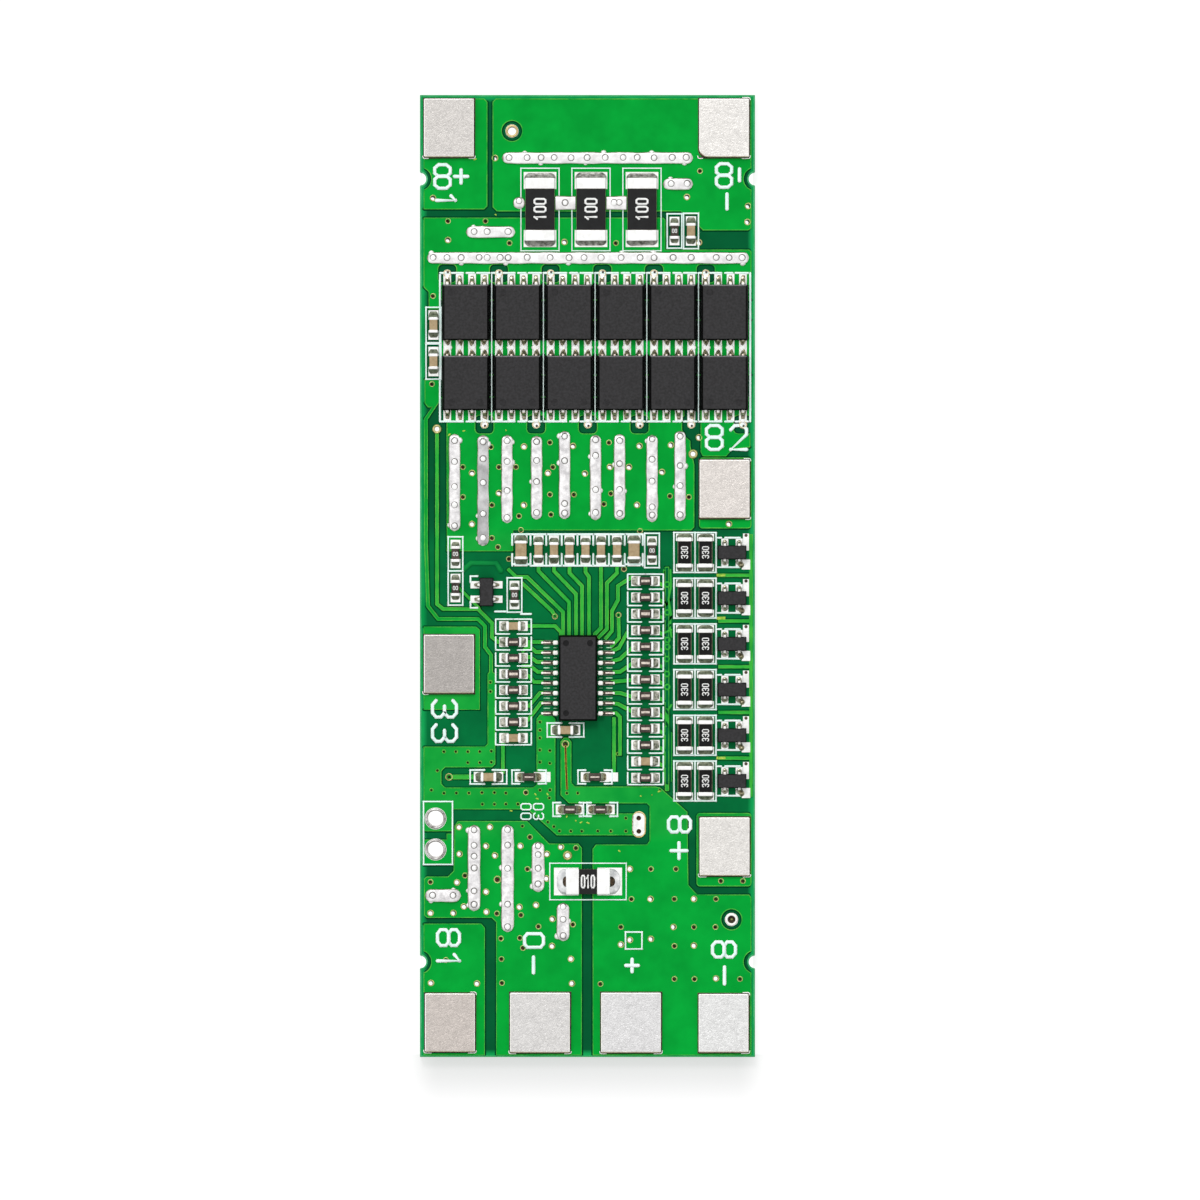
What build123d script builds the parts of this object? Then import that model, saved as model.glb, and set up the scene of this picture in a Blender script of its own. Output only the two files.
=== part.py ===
# Battery management board: a long, narrow circuit board that guards a pack of lithium cells.
# It lies flat, component side up. The long way runs along Y, the short way along X.
# The origin is the middle of the underside. All sizes are in millimetres.

import os

from build123d import *

# Laminate and what is bonded to it
board_thickness = 1.6
board_length = 96.2
copper_relief = 0.06
land_relief = 0.10
edge_setback = 0.4
notch_radius = 0.72
notch_clearance = 0.45

# Power transistors: two rows of flat packages set the width of the board
mosfet_columns = 6
mosfet_width = 4.85
mosfet_gap = 0.32
mosfet_length = 5.5
mosfet_height = 1.0
mosfet_row_gap = 1.6
mosfet_lead_pitch = 1.24
mosfet_lead_width = 0.42
mosfet_lead_reach = 0.6
mosfet_lead_thickness = 0.25
mosfet_land_width = 0.76
mosfet_land_reach = 1.1
side_strip = 2.0
bank_margin = 0.48
body_draft = 6
body_standoff = 0.04

# Metal tabs that the cell straps and the load wires are joined to
tab_width = 5.0
tab_length = 5.85
load_tab_width = 6.0
load_tab_length = 6.0
tab_thickness = 0.5
tab_corner = 0.12
tab_cut_corner = 0.9
tab_land_margin = 0.1

# Chip resistors and capacitors: length, width and height over the end caps
shunt_size = (6.3, 3.1, 0.6)
load_shunt_size = (4.4, 2.6, 0.6)
bleed_size = (3.15, 1.55, 0.55)
chip_size = (1.6, 0.82, 0.5)
capacitor_size = (1.7, 0.85, 0.8)
large_capacitor_size = (2.0, 1.15, 0.95)
shunt_cap_length = 1.1
load_shunt_cap_length = 1.25
bleed_cap_length = 0.42
chip_cap_length = 0.3
cap_skin = 0.03
chip_land_reach = 0.62
shunt_land_reach = 0.6
bleed_land_reach = 0.3
land_side_margin = 0.08
land_overlap = 0.45

# Small transistors with four leads
sot_length = 2.8
sot_width = 1.35
sot_height = 1.0
sot_lead_width = 0.42
sot_lead_reach = 0.6
sot_lead_thickness = 0.15
sot_lead_offset = 0.72
sot_land = (0.7, 0.75)
sot_land_offset = 0.35
sot_side_column = 14
sot_upper_land = (0.6, 1.7, 1.05)
sot_lower_land = (0.85, 1.0, 1.2)
regulator_land = (0.95, 0.72)
regulator_land_offset = 0.45

# Controller chip, with a row of gull-wing leads along each side
ic_length = 8.6
ic_width = 3.8
ic_height = 1.45
ic_standoff = 0.12
ic_lead_count = 8
ic_lead_pitch = 1.01
ic_lead_width = 0.36
ic_lead_reach = 1.5
ic_lead_foot = 0.85
ic_lead_thickness = 0.18
ic_shoulder_height = 0.7
ic_land = (1.0, 0.5)

# Solder run thick over the bare copper that carries the current
bar_width = 1.2
bar_height = 0.3
bar_corner = 0.35

# Drilled holes
stitching_radius = 0.25
stitching_land_rim = 0.15
gate_via_radius = 0.2
gate_via_land = 0.8
gate_via_reach = 0.3
gate_clearing = 1.9
gate_clearing_corner = 0.5
wire_hole_radius = 0.75
wire_land_rim = 0.34
tooling_hole_radius = 0.4
tooling_land_rim = 0.26
tooling_clearance = 0.4
trace_width = 0.28

mosfet_pitch = mosfet_width + mosfet_gap
mosfet_row_pitch = mosfet_length + mosfet_row_gap
board_width = side_strip + mosfet_columns * mosfet_pitch + bank_margin

# The placement grid counts tenths of a millimetre from the lower left corner of the board,
# and it spreads with the board if the board grows.
grid_columns = 335
grid_rows = 962
step_x = board_width / grid_columns
step_y = board_length / grid_rows
left_edge = -board_width / 2
right_edge = board_width / 2
lower_edge = -board_length / 2
upper_edge = board_length / 2
seat = board_thickness + land_relief
copper_top = board_thickness + copper_relief


def at(column, row):
    """The place of a grid crossing, from the middle of the board."""
    x = min(max(left_edge + column * step_x, left_edge + edge_setback), right_edge - edge_setback)
    y = min(max(lower_edge + row * step_y, lower_edge + edge_setback / 2), upper_edge - edge_setback)
    return (x, y)


def outline(*crossings):
    """A flat field of copper with straight sides between grid crossings."""
    return make_face(Polyline(*[at(*c) for c in crossings], close=True))


def field(left, lower, right, upper, corner=0.3):
    """A rectangle of copper between two grid crossings, with rounded corners."""
    (x0, y0), (x1, y1) = at(left, lower), at(right, upper)
    return Pos((x0 + x1) / 2, (y0 + y1) / 2) * RectangleRounded(x1 - x0, y1 - y0, corner)


def ribbon(*crossings, width=trace_width):
    """A conductor of even width along straight runs, mitred at each turn."""
    points = [Vector(*at(*c)) for c in crossings]
    runs = [(b - a).normalized() for a, b in zip(points, points[1:])]
    left, right = [], []
    for i, point in enumerate(points):
        before, after = runs[max(i - 1, 0)], runs[min(i, len(runs) - 1)]
        across = (before + after).normalized().rotate(Axis.Z, 90)
        reach = width / 2 / across.dot(before.rotate(Axis.Z, 90))
        end = before * (width / 2) * ((i == len(points) - 1) - (i == 0))
        left.append(point + across * reach + end)
        right.append(point - across * reach + end)
    return make_face(Polyline(*left, *reversed(right), close=True))


def rectangle(x, y, width, length):
    """A flat rectangle about a point."""
    return Pos(x, y) * Rectangle(width, length)


def disc(x, y, radius):
    """A flat disc about a point."""
    return Pos(x, y) * Circle(radius)


# Where each part sits

bank_middle = at(0, 709.5)[1]
mosfet_columns_x = [left_edge + side_strip + (i + 0.5) * mosfet_pitch for i in range(mosfet_columns)]
upper_row_y = bank_middle + mosfet_row_pitch / 2
lower_row_y = bank_middle - mosfet_row_pitch / 2
lead_offsets = [(i - 1.5) * mosfet_lead_pitch for i in range(4)]
gate_offset = lead_offsets[0]

tabs = {
    "upper_positive_tab": (at(29, 929), (tab_width, tab_length)),
    "upper_negative_tab": (at(304, 929), (tab_width, tab_length)),
    "cell_two_tab": (at(304.5, 568), (tab_width, tab_length)),
    "cell_three_tab": (at(29, 393), (tab_width, tab_length)),
    "pack_positive_tab": (at(304.5, 210.5), (tab_width, tab_length)),
    "cell_one_tab": (at(30, 34.5), (tab_width, tab_length)),
    "load_negative_tab": (at(120, 34.5), (load_tab_width, load_tab_length)),
    "load_positive_tab": (at(211, 34.5), (load_tab_width, load_tab_length)),
    "pack_negative_tab": (at(303.5, 34), (tab_width, tab_length)),
}
cut_tab = "upper_negative_tab"

shunt_columns = (120, 171, 222)
shunt_row = 847.5
load_shunt_place = (168, 175.5)

channel_rows = [504.5 - 45.7 * i for i in range(6)]
bleed_columns = {"left": 264.5, "right": 285.5}
transistor_column = 312
regulator_place = (66.5, 465)
ic_place = (158, 379)

# Groups of small chips, each placed by column and row, with its turn in degrees
filter_capacitor_columns = (118.5, 134, 149.5, 165.5, 181, 197)
large_filter_capacitor_columns = (101, 214)
filter_row = 507
pin_chip_rows = [431 - 16 * i for i in range(8)]
pin_chip_column = 93.5
channel_chip_rows = [476 - 16.4 * i for i in range(13)]
channel_chip_column = 225.5

single_chips = {
    "supply_capacitors": [(145.5, 327, 0, capacitor_size), (68.5, 280, 0, capacitor_size)],
    "snubber_capacitors": [(13.5, 732, 90, capacitor_size), (13.5, 695.5, 90, capacitor_size)],
    "regulator_resistors": [
        (35.5, 503, 90, chip_size),
        (35.5, 469, 90, chip_size),
        (94.5, 462, 90, chip_size),
    ],
    "timing_resistor": [(232, 506.5, 90, chip_size)],
    "sense_resistor": [(254.5, 826, 90, chip_size)],
    "sense_capacitor": [(271, 826, 90, capacitor_size)],
    "selector_resistors": [
        (109, 280, 0, chip_size),
        (175, 280, 0, chip_size),
        (150, 247.5, 0, chip_size),
        (180.5, 247.5, 0, chip_size),
    ],
    "filter_capacitors": [(c, filter_row, 90, capacitor_size) for c in filter_capacitor_columns]
    + [(c, filter_row, 90, large_capacitor_size) for c in large_filter_capacitor_columns],
    "pin_resistors": [(pin_chip_column, r, 0, chip_size) for r in pin_chip_rows],
    "channel_resistors": [(channel_chip_column, r, 0, chip_size) for r in channel_chip_rows],
}

# Solder bars: each runs between two ends on the grid
upper_bars = {
    "terminal": ((82, 899), (273, 899)),
    "terminal_end": ((243, 873), (273, 873)),
    "sense_end": ((46, 825), (95, 825)),
    "bus": ((7, 799), (329, 799)),
    "link_one": ((96, 854), (102, 854)),
    "link_two": ((137, 854), (154, 854)),
    "link_three": ((188, 854), (205, 854)),
}
source_bars = {
    "bar_1": ((34.5, 623), (34.5, 526)),
    "bar_2": ((63, 622), (63, 511)),
    "bar_3": ((87, 622), (87, 534)),
    "bar_4": ((116.5, 621), (116.5, 537.5)),
    "bar_5": ((144.5, 626), (144.5, 538)),
    "bar_6": ((175.5, 622), (175.5, 537)),
    "bar_7": ((199.5, 623), (199.5, 537)),
    "bar_8": ((232, 622), (232, 535)),
    "bar_9": ((260, 626), (260, 536)),
}
load_bars = {
    "load_bar_1": ((54, 232), (54, 146)),
    "load_bar_2": ((87.5, 232), (87.5, 125)),
    "load_bar_3": ((118, 215), (118, 165)),
    "load_bar_4": ((143, 154), (143, 116)),
    "cell_one_link": ((5, 161.5), (41, 161.5)),
}

# Plated holes: the stitching vias are too fine to show from a step away
stitching_holes = [(17, 628), (147.5, 201.5), (273, 603)]
wire_holes = [(15.5, 238.5), (15.5, 207.5)]
tooling_holes = [(92, 926), (311.5, 137.5)]

notches = [(edge, at(0, row)[1]) for edge in (left_edge, right_edge) for row in (95, 878)]


def leads_of_bank():
    """Every lead column of the bank, and whether it is a gate in the upper and in the lower row."""
    for x in mosfet_columns_x:
        for offset in lead_offsets:
            yield x + offset, offset == gate_offset, offset == -gate_offset


def copper_fields():
    """The copper under the green mask: wide fields, then the narrow conductors."""
    wide = [
        outline((4, 958), (64, 958), (67, 955), (67, 851), (64, 848), (4, 848)),
        outline(
            (76, 958), (331, 958), (331, 829), (328, 827), (283, 827), (279, 831), (279, 843), (264, 843),
            (261, 846), (77, 846), (73, 850), (73, 955),
        ),
        outline(
            (4, 839), (243, 839), (245, 837), (245, 807), (329, 807), (331, 805), (331, 757), (20, 757),
            (20, 748), (9, 748), (9, 765), (4, 770),
        ),
        outline((21, 737), (331, 737), (331, 682), (21, 682)),
        outline((5, 678), (20, 678), (20, 658), (15, 650), (8, 650), (5, 654)),
        outline(
            (27, 660), (264, 660), (264, 621), (270, 616), (270, 611), (274, 592), (274, 530), (271, 527),
            (93, 527), (93, 506), (27, 506),
        ),
        outline((281, 660), (330, 660), (330, 610), (312, 608), (306, 601), (283, 601), (281, 605)),
        field(279.5, 529, 331, 599),
        outline((4, 430), (56, 430), (59.5, 427), (59.5, 347.5), (4, 347.5)),
        outline(
            (4, 310), (65, 310), (68, 313), (68, 383), (71, 386), (75, 383), (75, 293), (72, 290), (25, 290),
            (21, 286), (21, 273), (25, 269), (113, 269), (117, 272), (117, 338), (120, 342), (131, 342),
            (135, 338), (135, 256), (142, 249), (142, 243), (213, 243), (224, 241), (224, 224), (221, 222),
            (137, 222), (108, 248), (32, 248), (32, 226), (4, 226),
        ),
        outline((4, 217), (27, 217), (27, 223), (32, 223), (32, 192), (4, 192)),
        outline(
            (141, 315), (144, 319), (148, 319), (151, 315), (151, 274), (155, 270), (235, 270), (240, 269),
            (267, 245), (268, 172), (277, 162), (329, 162), (331, 159), (331, 2), (173, 2), (173, 208),
            (176, 212), (227, 212), (230, 216), (230, 251), (227, 254), (149, 254), (141, 262),
        ),
        field(277, 171, 331, 243.5),
        outline((4, 133), (61, 133), (64.5, 129), (64.5, 2), (4, 2)),
        outline(
            (38, 235.5), (107, 235.5), (129, 213), (158, 213), (161.5, 209), (161.5, 2), (76.5, 2),
            (76.5, 135), (72, 139.5), (7, 139.5), (4.5, 142), (4.5, 178), (7, 180), (28, 180), (34, 186),
            (35, 231),
        ),
    ]
    narrow = [
        ribbon((20, 659), (10, 644), (6, 638), (6, 512), (8, 451), (18, 438), (58, 438), (65, 431), (65, 410),
               (71, 402), (71, 380)),
        ribbon((17, 628), (17, 453), (23, 448), (58, 448), (72, 434), (72, 420), (78, 415), (84, 415)),
        ribbon((38, 470), (59, 449), width=0.2),
        ribbon((103, 473), (132, 446), (135, 441)),
        ribbon((89, 487), (96, 480), (107, 480), (143, 445), (143, 412)),
        ribbon((118.5, 497), (118.5, 486), (149, 455), (149, 412)),
        ribbon((134, 497), (134, 486), (156, 463), (156, 412)),
        ribbon((149.5, 497), (149.5, 484), (162, 471), (162, 412)),
        ribbon((165.5, 497), (165.5, 485), (169, 480), (169, 412)),
        ribbon((181, 497), (181, 429), (175, 423), (175, 412)),
        ribbon((197, 497), (197, 484), (187, 474), (187, 428), (179, 420)),
        ribbon((212, 480), (198, 471), (198, 457), (192, 446), (192, 426), (186, 419)),
        ribbon((198.5, 442), (199, 419), (192, 411)),
        ribbon((190, 405), (199, 409), (207, 424)),
        ribbon((190, 395), (200, 398), (213, 410)),
        ribbon((190, 385), (200, 385), (213, 394)),
        ribbon((190, 375), (213, 377)),
        ribbon((190, 364), (200, 364), (213, 360)),
        ribbon((190, 354), (198, 353), (213, 345)),
        ribbon((190, 344), (196, 344), (200, 340), (200, 303)),
        ribbon((194, 338), (194, 282)),
        ribbon((103, 431), (135, 431), (141, 425), (141, 412)),
        ribbon((103, 415), (126, 415)),
        ribbon((103, 406), (109, 411), (116, 405), (126, 405)),
        ribbon((103, 399), (110, 400), (117, 395), (126, 395)),
        ribbon((103, 391), (110, 391), (118, 385), (126, 385)),
        ribbon((103, 383), (109, 381), (114, 375), (126, 375)),
        ribbon((103, 351), (109, 351), (120, 364), (126, 364)),
        ribbon((103, 335), (108, 337), (121, 354), (126, 354)),
        ribbon((83, 319), (83, 285)),
        ribbon((29, 280), (56, 280), width=0.4),
        ribbon((331, 521), (331, 262)),
        ribbon((247, 488), (247, 268), width=0.36),
    ]
    for upper, lower in zip(channel_rows, channel_rows[1:]):
        middle = (upper + lower) / 2
        narrow.append(ribbon((300, middle), (329, middle)))
    for row in channel_chip_rows[:-1]:
        narrow.append(ribbon((234, row), (247, row - 6)))
    return Sketch() + wide + narrow


def copper_keepouts():
    """Where the copper draws back: round the notches, the tooling holes and each gate."""
    cuts = [disc(x, y, notch_radius + notch_clearance) for x, y in notches]
    tooling_reach = tooling_hole_radius + tooling_land_rim + tooling_clearance
    cuts += [disc(*at(*place), tooling_reach) for place in tooling_holes]
    clearing = RectangleRounded(gate_clearing, gate_clearing, gate_clearing_corner)
    cuts += [Pos(x, y) * clearing for x, y in gate_vias()]
    return cuts


def chip_lands(place, turn, size, reach, cap_length):
    """The two tinned lands that a chip's end caps stand on."""
    length, width, _ = size
    land_length = reach + cap_length
    middle = length / 2 - cap_length + land_length / 2
    lands = [Pos(side * middle, 0) * Rectangle(land_length, width + 2 * land_side_margin) for side in (-1, 1)]
    return [Pos(*place) * Rot(0, 0, turn) * land for land in lands]


def sot_feet():
    """The four feet of a small transistor: along its length, and which side."""
    return [(-1, 1), (1, 1), (-1, -1), (1, -1)]


def tinned_lands():
    """Bare, tinned copper that stands a little above the mask, under every soldered joint."""
    lands = []
    for name, ((x, y), (width, length)) in tabs.items():
        land = rectangle(x, y, width + 2 * tab_land_margin, length + 2 * tab_land_margin)
        if name == cut_tab:
            inner_corner = land.vertices().sort_by(Axis.X)[:2].sort_by(Axis.Y)[0]
            land = fillet(inner_corner, tab_cut_corner)
        lands.append(land)
    bank_half = mosfet_row_pitch / 2 + mosfet_length / 2
    for x, upper_gate, lower_gate in leads_of_bank():
        between = mosfet_row_gap + 2 * land_overlap
        lands.append(rectangle(x, bank_middle, mosfet_land_width, between))
        for side in (-1, 1):
            y = bank_middle + side * (bank_half + (mosfet_land_reach - land_overlap) / 2)
            lands.append(rectangle(x, y, mosfet_land_width, mosfet_land_reach + land_overlap))
    for x, y in gate_vias():
        lands.append(disc(x, y, gate_via_land / 2))
    for column in shunt_columns:
        lands += chip_lands(at(column, shunt_row), 90, shunt_size, shunt_land_reach, shunt_cap_length)
    lands += chip_lands(
        at(*load_shunt_place), 0, load_shunt_size, 2 * shunt_land_reach, load_shunt_cap_length
    )
    for row in channel_rows:
        for column in bleed_columns.values():
            lands += chip_lands(at(column, row), 90, bleed_size, bleed_land_reach, bleed_cap_length)
        x, y = at(transistor_column, row)
        for along, side in sot_feet():
            foot_y = y + side * (sot_width / 2 + sot_land_offset)
            lands.append(rectangle(x + along * sot_lead_offset, foot_y, *sot_land))
        x, y = at(transistor_column + sot_side_column, row)
        for side, (width, length, offset) in ((1, sot_upper_land), (-1, sot_lower_land)):
            lands.append(rectangle(x, y + side * offset, width, length))
    x, y = at(*regulator_place)
    for along, side in sot_feet():
        foot_x = x + side * (sot_width / 2 + regulator_land_offset)
        lands.append(rectangle(foot_x, y + along * sot_lead_offset, *regulator_land))
    for chips in single_chips.values():
        for column, row, turn, size in chips:
            lands += chip_lands(at(column, row), turn, size, chip_land_reach, chip_cap_length)
    x, y = at(*ic_place)
    for i in range(ic_lead_count):
        row_y = y + (i - (ic_lead_count - 1) / 2) * ic_lead_pitch
        foot_x = ic_width / 2 + ic_lead_reach - ic_lead_foot / 2
        lands += [rectangle(x + side * foot_x, row_y, *ic_land) for side in (-1, 1)]
    lands += [
        Pos(*at(218.5, 232.5)) * RectangleRounded(1.2, 2.3, 0.5),
        rectangle(*at(126, 280), 0.9, 1.0),
        rectangle(*at(193.5, 280), 0.9, 0.9),
    ]
    return lands


def ring_lands():
    """The tinned ring round each hole that shows one."""
    rings = [disc(*at(*place), wire_hole_radius + wire_land_rim) for place in wire_holes]
    rings += [disc(*at(*place), tooling_hole_radius + tooling_land_rim) for place in tooling_holes]
    rings += [disc(*at(*place), stitching_radius + stitching_land_rim) for place in stitching_holes]
    return rings


def gate_vias():
    """The plated hole beyond each gate lead, upper row and lower row."""
    reach = mosfet_row_pitch / 2 + mosfet_length / 2 + mosfet_land_reach
    for x, upper_gate, lower_gate in leads_of_bank():
        if upper_gate:
            yield x, bank_middle + reach
        if lower_gate:
            yield x, bank_middle - reach - gate_via_reach


def drills():
    """Every drill that goes right through, and the half-round notches in the long edges."""
    holes = [(place, gate_via_radius) for place in gate_vias()]
    holes += [(at(*place), stitching_radius) for place in stitching_holes]
    holes += [(at(*place), wire_hole_radius) for place in wire_holes]
    holes += [(at(*place), tooling_hole_radius) for place in tooling_holes]
    holes += [(place, notch_radius) for place in notches]
    return [Pos(x, y, seat / 2) * Cylinder(radius, 2 * seat) for (x, y), radius in holes]


def circuit_board():
    """The laminate with its raised copper and tinned lands, drilled and notched."""
    laminate = Pos(0, 0, board_thickness / 2) * Box(board_width, board_length, board_thickness)
    copper = copper_fields() - copper_keepouts()
    lands = Sketch() + tinned_lands() + ring_lands()
    raised = [Pos(0, 0, board_thickness) * extrude(copper, copper_relief)]
    raised.append(Pos(0, 0, board_thickness) * extrude(lands, land_relief))
    return laminate + raised - drills()


def tab(place, size, cut=False):
    """A flat metal tab with softened corners, and one large one where it is cut back."""
    width, length = size
    plate = Box(width, length, tab_thickness)
    upright = plate.edges().filter_by(Axis.Z)
    if cut:
        large = upright.sort_by(Axis.X)[:2].sort_by(Axis.Y)[0]
        plate = fillet(large, tab_cut_corner)
        upright = plate.edges().filter_by(Axis.Z)
        upright = [e for e in upright if abs(e.center().X) + abs(e.center().Y) > (width + length) / 2 - 0.1]
    plate = fillet(upright, tab_corner)
    return Pos(*place, seat + tab_thickness / 2) * plate


def moulded_body(width, length, height, foot):
    """A moulded package whose sides lean in towards the top."""
    return Pos(0, 0, foot) * extrude(Rectangle(width, length), height - foot, taper=body_draft)


def mosfet(x, y):
    """A flat power package with four leads at each end."""
    solid = moulded_body(mosfet_width, mosfet_length, mosfet_height, body_standoff)
    for side in (-1, 1):
        for offset in lead_offsets:
            length = mosfet_lead_reach + land_overlap
            middle = mosfet_length / 2 - land_overlap + length / 2
            lead = Box(mosfet_lead_width, length, mosfet_lead_thickness)
            solid += Pos(offset, side * middle, mosfet_lead_thickness / 2) * lead
    return Pos(x, y, seat) * solid


def chip(place, turn, size, cap_length):
    """A chip resistor or capacitor: a ceramic body between two plated end caps."""
    length, width, height = size
    body_height = height - 2 * cap_skin
    solid = Pos(0, 0, height / 2) * Box(length - 2 * cap_skin, width - 2 * cap_skin, body_height)
    for side in (-1, 1):
        solid += Pos(side * (length - cap_length) / 2, 0, height / 2) * Box(cap_length, width, height)
    return Pos(*place, seat) * Rot(0, 0, turn) * solid


def small_transistor(place, turn):
    """A small moulded transistor on four bent leads."""
    solid = moulded_body(sot_length, sot_width, sot_height, body_standoff)
    shoulder = sot_height / 2
    for along, side in sot_feet():
        x = along * sot_lead_offset
        drop = Box(sot_lead_width, sot_lead_thickness, shoulder)
        foot = Box(sot_lead_width, sot_lead_reach, sot_lead_thickness)
        run = Box(sot_lead_width, 0.4, sot_lead_thickness)
        solid += Pos(x, side * (sot_width / 2 + 0.15), shoulder / 2) * drop
        solid += Pos(x, side * (sot_width / 2 + 0.075 + sot_lead_reach / 2), sot_lead_thickness / 2) * foot
        solid += Pos(x, side * sot_width / 2, shoulder - sot_lead_thickness / 2) * run
    return Pos(*place, seat) * Rot(0, 0, turn) * solid


def controller_chip():
    """The controller: a long moulded body with gull-wing leads down both sides."""
    solid = moulded_body(ic_width, ic_length, ic_height, ic_standoff)
    neck = ic_lead_reach - ic_lead_foot
    for i in range(ic_lead_count):
        y = (i - (ic_lead_count - 1) / 2) * ic_lead_pitch
        for side in (-1, 1):
            edge = side * ic_width / 2
            run = Box(neck + 0.4, ic_lead_width, ic_lead_thickness)
            drop = Box(ic_lead_thickness, ic_lead_width, ic_shoulder_height)
            foot = Box(ic_lead_foot, ic_lead_width, ic_lead_thickness)
            solid += Pos(edge + side * (neck - 0.4) / 2, y, ic_shoulder_height - ic_lead_thickness / 2) * run
            solid += Pos(edge + side * (neck - ic_lead_thickness / 2), y, ic_shoulder_height / 2) * drop
            solid += Pos(edge + side * (neck + ic_lead_foot / 2), y, ic_lead_thickness / 2) * foot
    return Pos(*at(*ic_place), seat) * solid


def solder_bar(start, end):
    """A raised run of solder between two grid crossings, with its rim and corners drawn in."""
    a, b = Vector(*at(*start)), Vector(*at(*end))
    span = b - a
    turn = 90 if abs(span.Y) > abs(span.X) else 0
    run = Box(span.length, bar_width, bar_height)
    corner = min(bar_corner, span.length / 3)
    run = chamfer(run.edges().filter_by(Axis.Z), corner)
    run = chamfer(run.faces().sort_by(Axis.Z)[-1].outer_wire().edges(), bar_height / 2)
    middle = (a + b) / 2
    return Pos(middle.X, middle.Y, copper_top + bar_height / 2) * Rot(0, 0, turn) * run


def write(name, *solids):
    """Writes one named piece, of one or more separate solids."""
    shape = solids[0] if len(solids) == 1 else Compound(children=list(solids))
    export_step(shape, f"parts/{name}.step")


def main():
    os.makedirs("parts", exist_ok=True)
    write("circuit_board", circuit_board())
    for name, (place, size) in tabs.items():
        write(name, tab(place, size, cut=name == cut_tab))
    for i, x in enumerate(mosfet_columns_x, start=1):
        write(f"discharge_mosfet_{i}", mosfet(x, upper_row_y))
        write(f"charge_mosfet_{i}", mosfet(x, lower_row_y))
    for i, column in enumerate(shunt_columns, start=1):
        write(f"shunt_resistor_{i}", chip(at(column, shunt_row), 90, shunt_size, shunt_cap_length))
    write("load_shunt_resistor", chip(at(*load_shunt_place), 0, load_shunt_size, load_shunt_cap_length))
    for i, row in enumerate(channel_rows, start=1):
        for side, column in bleed_columns.items():
            write(f"bleed_resistor_{i}_{side}", chip(at(column, row), 90, bleed_size, bleed_cap_length))
        write(f"balance_transistor_{i}", small_transistor(at(transistor_column, row), 0))
    write("regulator_transistor", small_transistor(at(*regulator_place), 90))
    write("controller_chip", controller_chip())
    for name, chips in single_chips.items():
        write(name, *[chip(at(c, r), turn, size, chip_cap_length) for c, r, turn, size in chips])
    for name, bars in (
        ("upper_solder_bars", upper_bars),
        ("source_solder_bars", source_bars),
        ("load_solder_bars", load_bars),
    ):
        write(name, *[solder_bar(*bar) for bar in bars.values()])


main()
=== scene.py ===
import math
import random

import bmesh
import bpy
from mathutils import Matrix, Vector


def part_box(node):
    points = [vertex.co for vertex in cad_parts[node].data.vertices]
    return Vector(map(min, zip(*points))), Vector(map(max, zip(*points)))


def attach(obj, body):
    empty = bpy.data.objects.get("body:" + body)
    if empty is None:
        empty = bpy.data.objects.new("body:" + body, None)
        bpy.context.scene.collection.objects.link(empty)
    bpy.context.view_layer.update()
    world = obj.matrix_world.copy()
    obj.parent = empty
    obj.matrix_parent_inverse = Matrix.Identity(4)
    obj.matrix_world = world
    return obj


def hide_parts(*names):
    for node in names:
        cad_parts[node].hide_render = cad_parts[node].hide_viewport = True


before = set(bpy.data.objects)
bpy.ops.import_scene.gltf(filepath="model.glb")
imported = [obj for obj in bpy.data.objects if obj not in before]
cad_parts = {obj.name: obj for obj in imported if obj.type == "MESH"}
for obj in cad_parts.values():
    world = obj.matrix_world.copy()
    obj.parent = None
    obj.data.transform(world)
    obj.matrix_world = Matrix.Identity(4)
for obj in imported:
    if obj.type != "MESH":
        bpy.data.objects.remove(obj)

bpy.context.view_layer.update()
mm = 0.001

# The print and the small holes are placed on the board's own grid:
# tenths of a millimetre from its lower left corner.
grid = {"columns": 335, "rows": 962}
boardLow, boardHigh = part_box("circuit_board")
stepX = (boardHigh.x - boardLow.x) / grid["columns"]
stepY = (boardHigh.y - boardLow.y) / grid["rows"]


def at(column, row, z=0.0):
    return Vector((boardLow.x + column * stepX, boardLow.y + row * stepY, z))


def middleOf(node):
    low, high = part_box(node)
    return (low + high) / 2


def isUpright(low, high):
    # whether a box is longer along Y than along X
    return high.y - low.y > high.x - low.x


def flatLine(z, *points, closed=False):
    # a line through these points, all at one height
    return [Vector((x, y, z)) for x, y in points], closed


def rgb(red, green, blue):
    def linear(c):
        c = min(c, 255) / 255
        return c / 12.92 if c <= 0.04045 else ((c + 0.055) / 1.055) ** 2.4
    return (linear(red), linear(green), linear(blue), 1.0)


# What a finish has when it says nothing else.
plainFinish = dict(specular=0.5, metallic=0.0, bump=0.05, grain=2500)
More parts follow.
